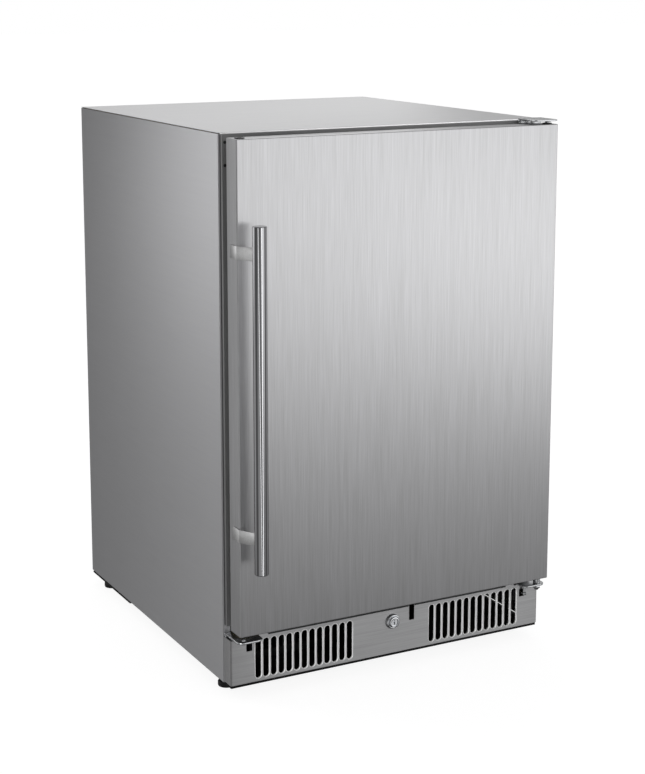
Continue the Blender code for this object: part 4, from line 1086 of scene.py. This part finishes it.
# ---------------------------------------------------------------- stage
# brightness of the room, and soft patches on it: azimuth, angle above level, inner and outer half angle in
# degrees, brightness (less than zero darkens)
ROOM = 0.175
PATCHES = (
    (150, 12, 8, 34, 1.20),
    (150, -12, 4, 22, 0.44),
    (28, 25, 6, 25, 0.48),
    (-50, -8, 6, 26, 0.54),
    (0, 90, 20, 60, 0.20),
    (228, -20, 10, 32, 0.40),
    (45, -20, 10, 32, 0.50),
    (-45, 25, 10, 32, 0.60),
    (182, -4, 6, 20, 0.45),
    (85, -3, 10, 32, 0.50),
    (0, -90, 25, 62, -0.165),
)
# soft lights: name, place, target, width, height, watts, the only pieces lit, pieces left unlit
LIGHTS = (
    ("back_left_card", (-1.9, 1.9, 0.9), (-0.28, 0, 0.5), 0.8, 1.8, 4.5, (), ("door_tray",)),
    ("left_card", (-2.4, 1.0, 0.9), (-0.28, 0, 0.5), 0.8, 1.8, 2.5, (), ("door_tray",)),
    ("back_high_card", (0.9, 2.2, 1.6), (0, 0, 0.87), 1.4, 0.8, 2.5),
    ("right_card", (2.0, -1.6, 0.4), (0, -0.3, 0.4), 1.0, 1.6, 3.1, (), ("handle_round",)),
    ("bar_band_card", (-0.086, -2.32, -0.1), (-0.26, -0.33, -0.1), 0.40, 2.4, 8.5, ("handle_round",)),
    ("bar_line_card", (-1.35, -2.01, -0.1), (-0.26, -0.33, -0.1), 0.22, 2.4, 3.8, ("handle_round",)),
    ("top_edge_card", (1.3, -0.7, 2.9), (0, -0.24, 0.87), 1.2, 1.2, 12, ("top_sheet",)),
    ("strap_card", (-2.5, -0.8, 0.4), (-0.28, -0.3, 0.45), 1.0, 1.4, 4.5, ("strap_top", "strap_bottom")),
    ("slot_card", (-2.3, -1.7, 0.5), (0, -0.26, 0.06), 1.0, 1.0, 75, ("grille_collars", "hinge_vacant")),
)


def card(name, place, target, wide, tall, power, only=(), skip=()):
    """A rectangular soft light that faces a point, unseen by the camera; it may light only some pieces."""
    light = bpy.data.lights.new(name, "AREA")
    light.shape, light.size, light.size_y = "RECTANGLE", wide, tall
    light.energy = power
    lamp = bpy.data.objects.new(name, light)
    lamp.location = place
    lamp.rotation_euler = (Vector(target) - Vector(place)).to_track_quat("-Z", "Z").to_euler()
    lamp.visible_camera = False
    bpy.context.scene.collection.objects.link(lamp)
    if only or skip:
        group = bpy.data.collections.new(name)
        for item in only or skip:
            group.objects.link(bpy.data.objects[item])
        for item in group.collection_objects:
            item.light_linking.link_state = "INCLUDE" if only else "EXCLUDE"
        lamp.light_linking.receiver_collection = group


def direction(azimuth, rise):
    """Unit vector from an azimuth, from +Y towards +X, and an angle above level, in degrees."""
    a, e = math.radians(azimuth), math.radians(rise)
    return Vector((math.sin(a) * math.cos(e), math.cos(a) * math.cos(e), math.sin(e)))


def studio_world():
    """White backdrop for the eye; what the steel mirrors is a grey room with soft pale patches."""
    world = bpy.data.worlds.new("studio")
    world.use_nodes = True
    tree = world.node_tree
    tree.nodes.clear()
    way = add(tree, "ShaderNodeTexCoord").outputs["Generated"]
    total = ROOM
    for azimuth, rise, inner, outer, value in PATCHES:
        near = add(tree, "ShaderNodeVectorMath", {0: way, 1: direction(azimuth, rise)}, operation="DOT_PRODUCT")
        rim, core = math.cos(math.radians(outer)), math.cos(math.radians(inner))
        glow = add(tree, "ShaderNodeMapRange",
                   {"Value": near.outputs["Value"], "From Min": rim, "From Max": core, "To Max": value},
                   interpolation_type="SMOOTHSTEP")
        total = add(tree, "ShaderNodeMath", {0: glow.outputs[0], 1: total}, operation="ADD").outputs[0]
    room = add(tree, "ShaderNodeBackground", {"Color": (1, 1, 1, 1), "Strength": total})
    back = add(tree, "ShaderNodeBackground", {"Color": (1, 1, 1, 1), "Strength": 1.0})
    seen = add(tree, "ShaderNodeLightPath").outputs["Is Camera Ray"]
    mixed = add(tree, "ShaderNodeMixShader", {0: seen, 1: room.outputs[0], 2: back.outputs[0]})
    add(tree, "ShaderNodeOutputWorld", {"Surface": mixed.outputs[0]})
    bpy.context.scene.world = world


class FridgeStage(bpy.types.Operator):
    """Pale floor, soft lights, backdrop and camera"""
    bl_idname = "fridge.stage"
    bl_label = "Studio"

    def execute(self, context):
        studio = context.scene.fridge_studio
        reach, cloud_size = studio.floor_size / 2, 0.4
        floor = as_object("studio_floor", box((-reach, -reach, -0.02), (reach, reach, 0)))
        # painted studio floor, matt, nearly white and evenly lit by a light table under it
        material, tree, shader = start("painted_floor", roughness=0.9, emission_color=studio.floor_colour,
                                       emission_strength=studio.floor_glow)
        cloud = grain_noise(tree, cloud_size, cloud_size, "Z").outputs["Fac"]
        tree.links.new(tint(tree, cloud, "#8e8e8e", "#969696"), shader.inputs["Base Color"])
        floor.data.materials.append(material)
        floor.visible_glossy = False
        floor.visible_diffuse = False
        floor.visible_shadow = False
        studio_world()
        for name, place, target, wide, tall, power, *linked in LIGHTS:
            card(name, place, target, wide, tall, power * studio.power, *linked)
        camera = bpy.data.cameras.new("camera")
        camera.lens, camera.shift_y = studio.lens, studio.shift
        eye = bpy.data.objects.new("camera", camera)
        eye.location = studio.position
        eye.rotation_euler = (math.pi / 2 - studio.tilt, 0, -studio.pan)
        context.scene.collection.objects.link(eye)
        context.scene.camera = eye
        context.scene.view_settings.view_transform = "Standard"
        return {"FINISHED"}


PIECES = (FridgeFinishes, FridgeKept, FridgeCabinet, FridgeDoor, FridgeSeal, FridgeHandle, FridgeHinges,
          FridgeGrille, FridgeLock, FridgeFeet, FridgeInside, FridgeDoorInside, FridgePlant, FridgeStage)


class FridgePanel(bpy.types.Panel):
    """Lists the sizes, colours and studio values, and a button for each piece"""
    bl_idname = "FRIDGE_PT_main"
    bl_label = "Undercounter refrigerator"
    bl_space_type = "VIEW_3D"
    bl_region_type = "UI"
    bl_category = "Refrigerator"

    def draw(self, context):
        for name, kind in GROUPS.items():
            area = self.layout.box()
            for key in kind.__annotations__:
                area.prop(getattr(context.scene, name), key)
        for item in PIECES:
            self.layout.operator(item.bl_idname)


# property groups, by their name on the scene
GROUPS = {"fridge_sizes": FridgeSizes, "fridge_colours": FridgeColours, "fridge_studio": FridgeStudio}
CLASSES = (*GROUPS.values(), *PIECES, FridgePanel)


def register():
    for item in CLASSES:
        bpy.utils.register_class(item)
    for name, kind in GROUPS.items():
        setattr(bpy.types.Scene, name, PointerProperty(type=kind))


def unregister():
    for name in GROUPS:
        delattr(bpy.types.Scene, name)
    for item in reversed(CLASSES):
        bpy.utils.unregister_class(item)


def main():
    """Make every piece and the studio."""
    register()
    for item in PIECES:
        group, name = item.bl_idname.split(".")
        getattr(getattr(bpy.ops, group), name)()


if __name__ == "__main__":
    main()
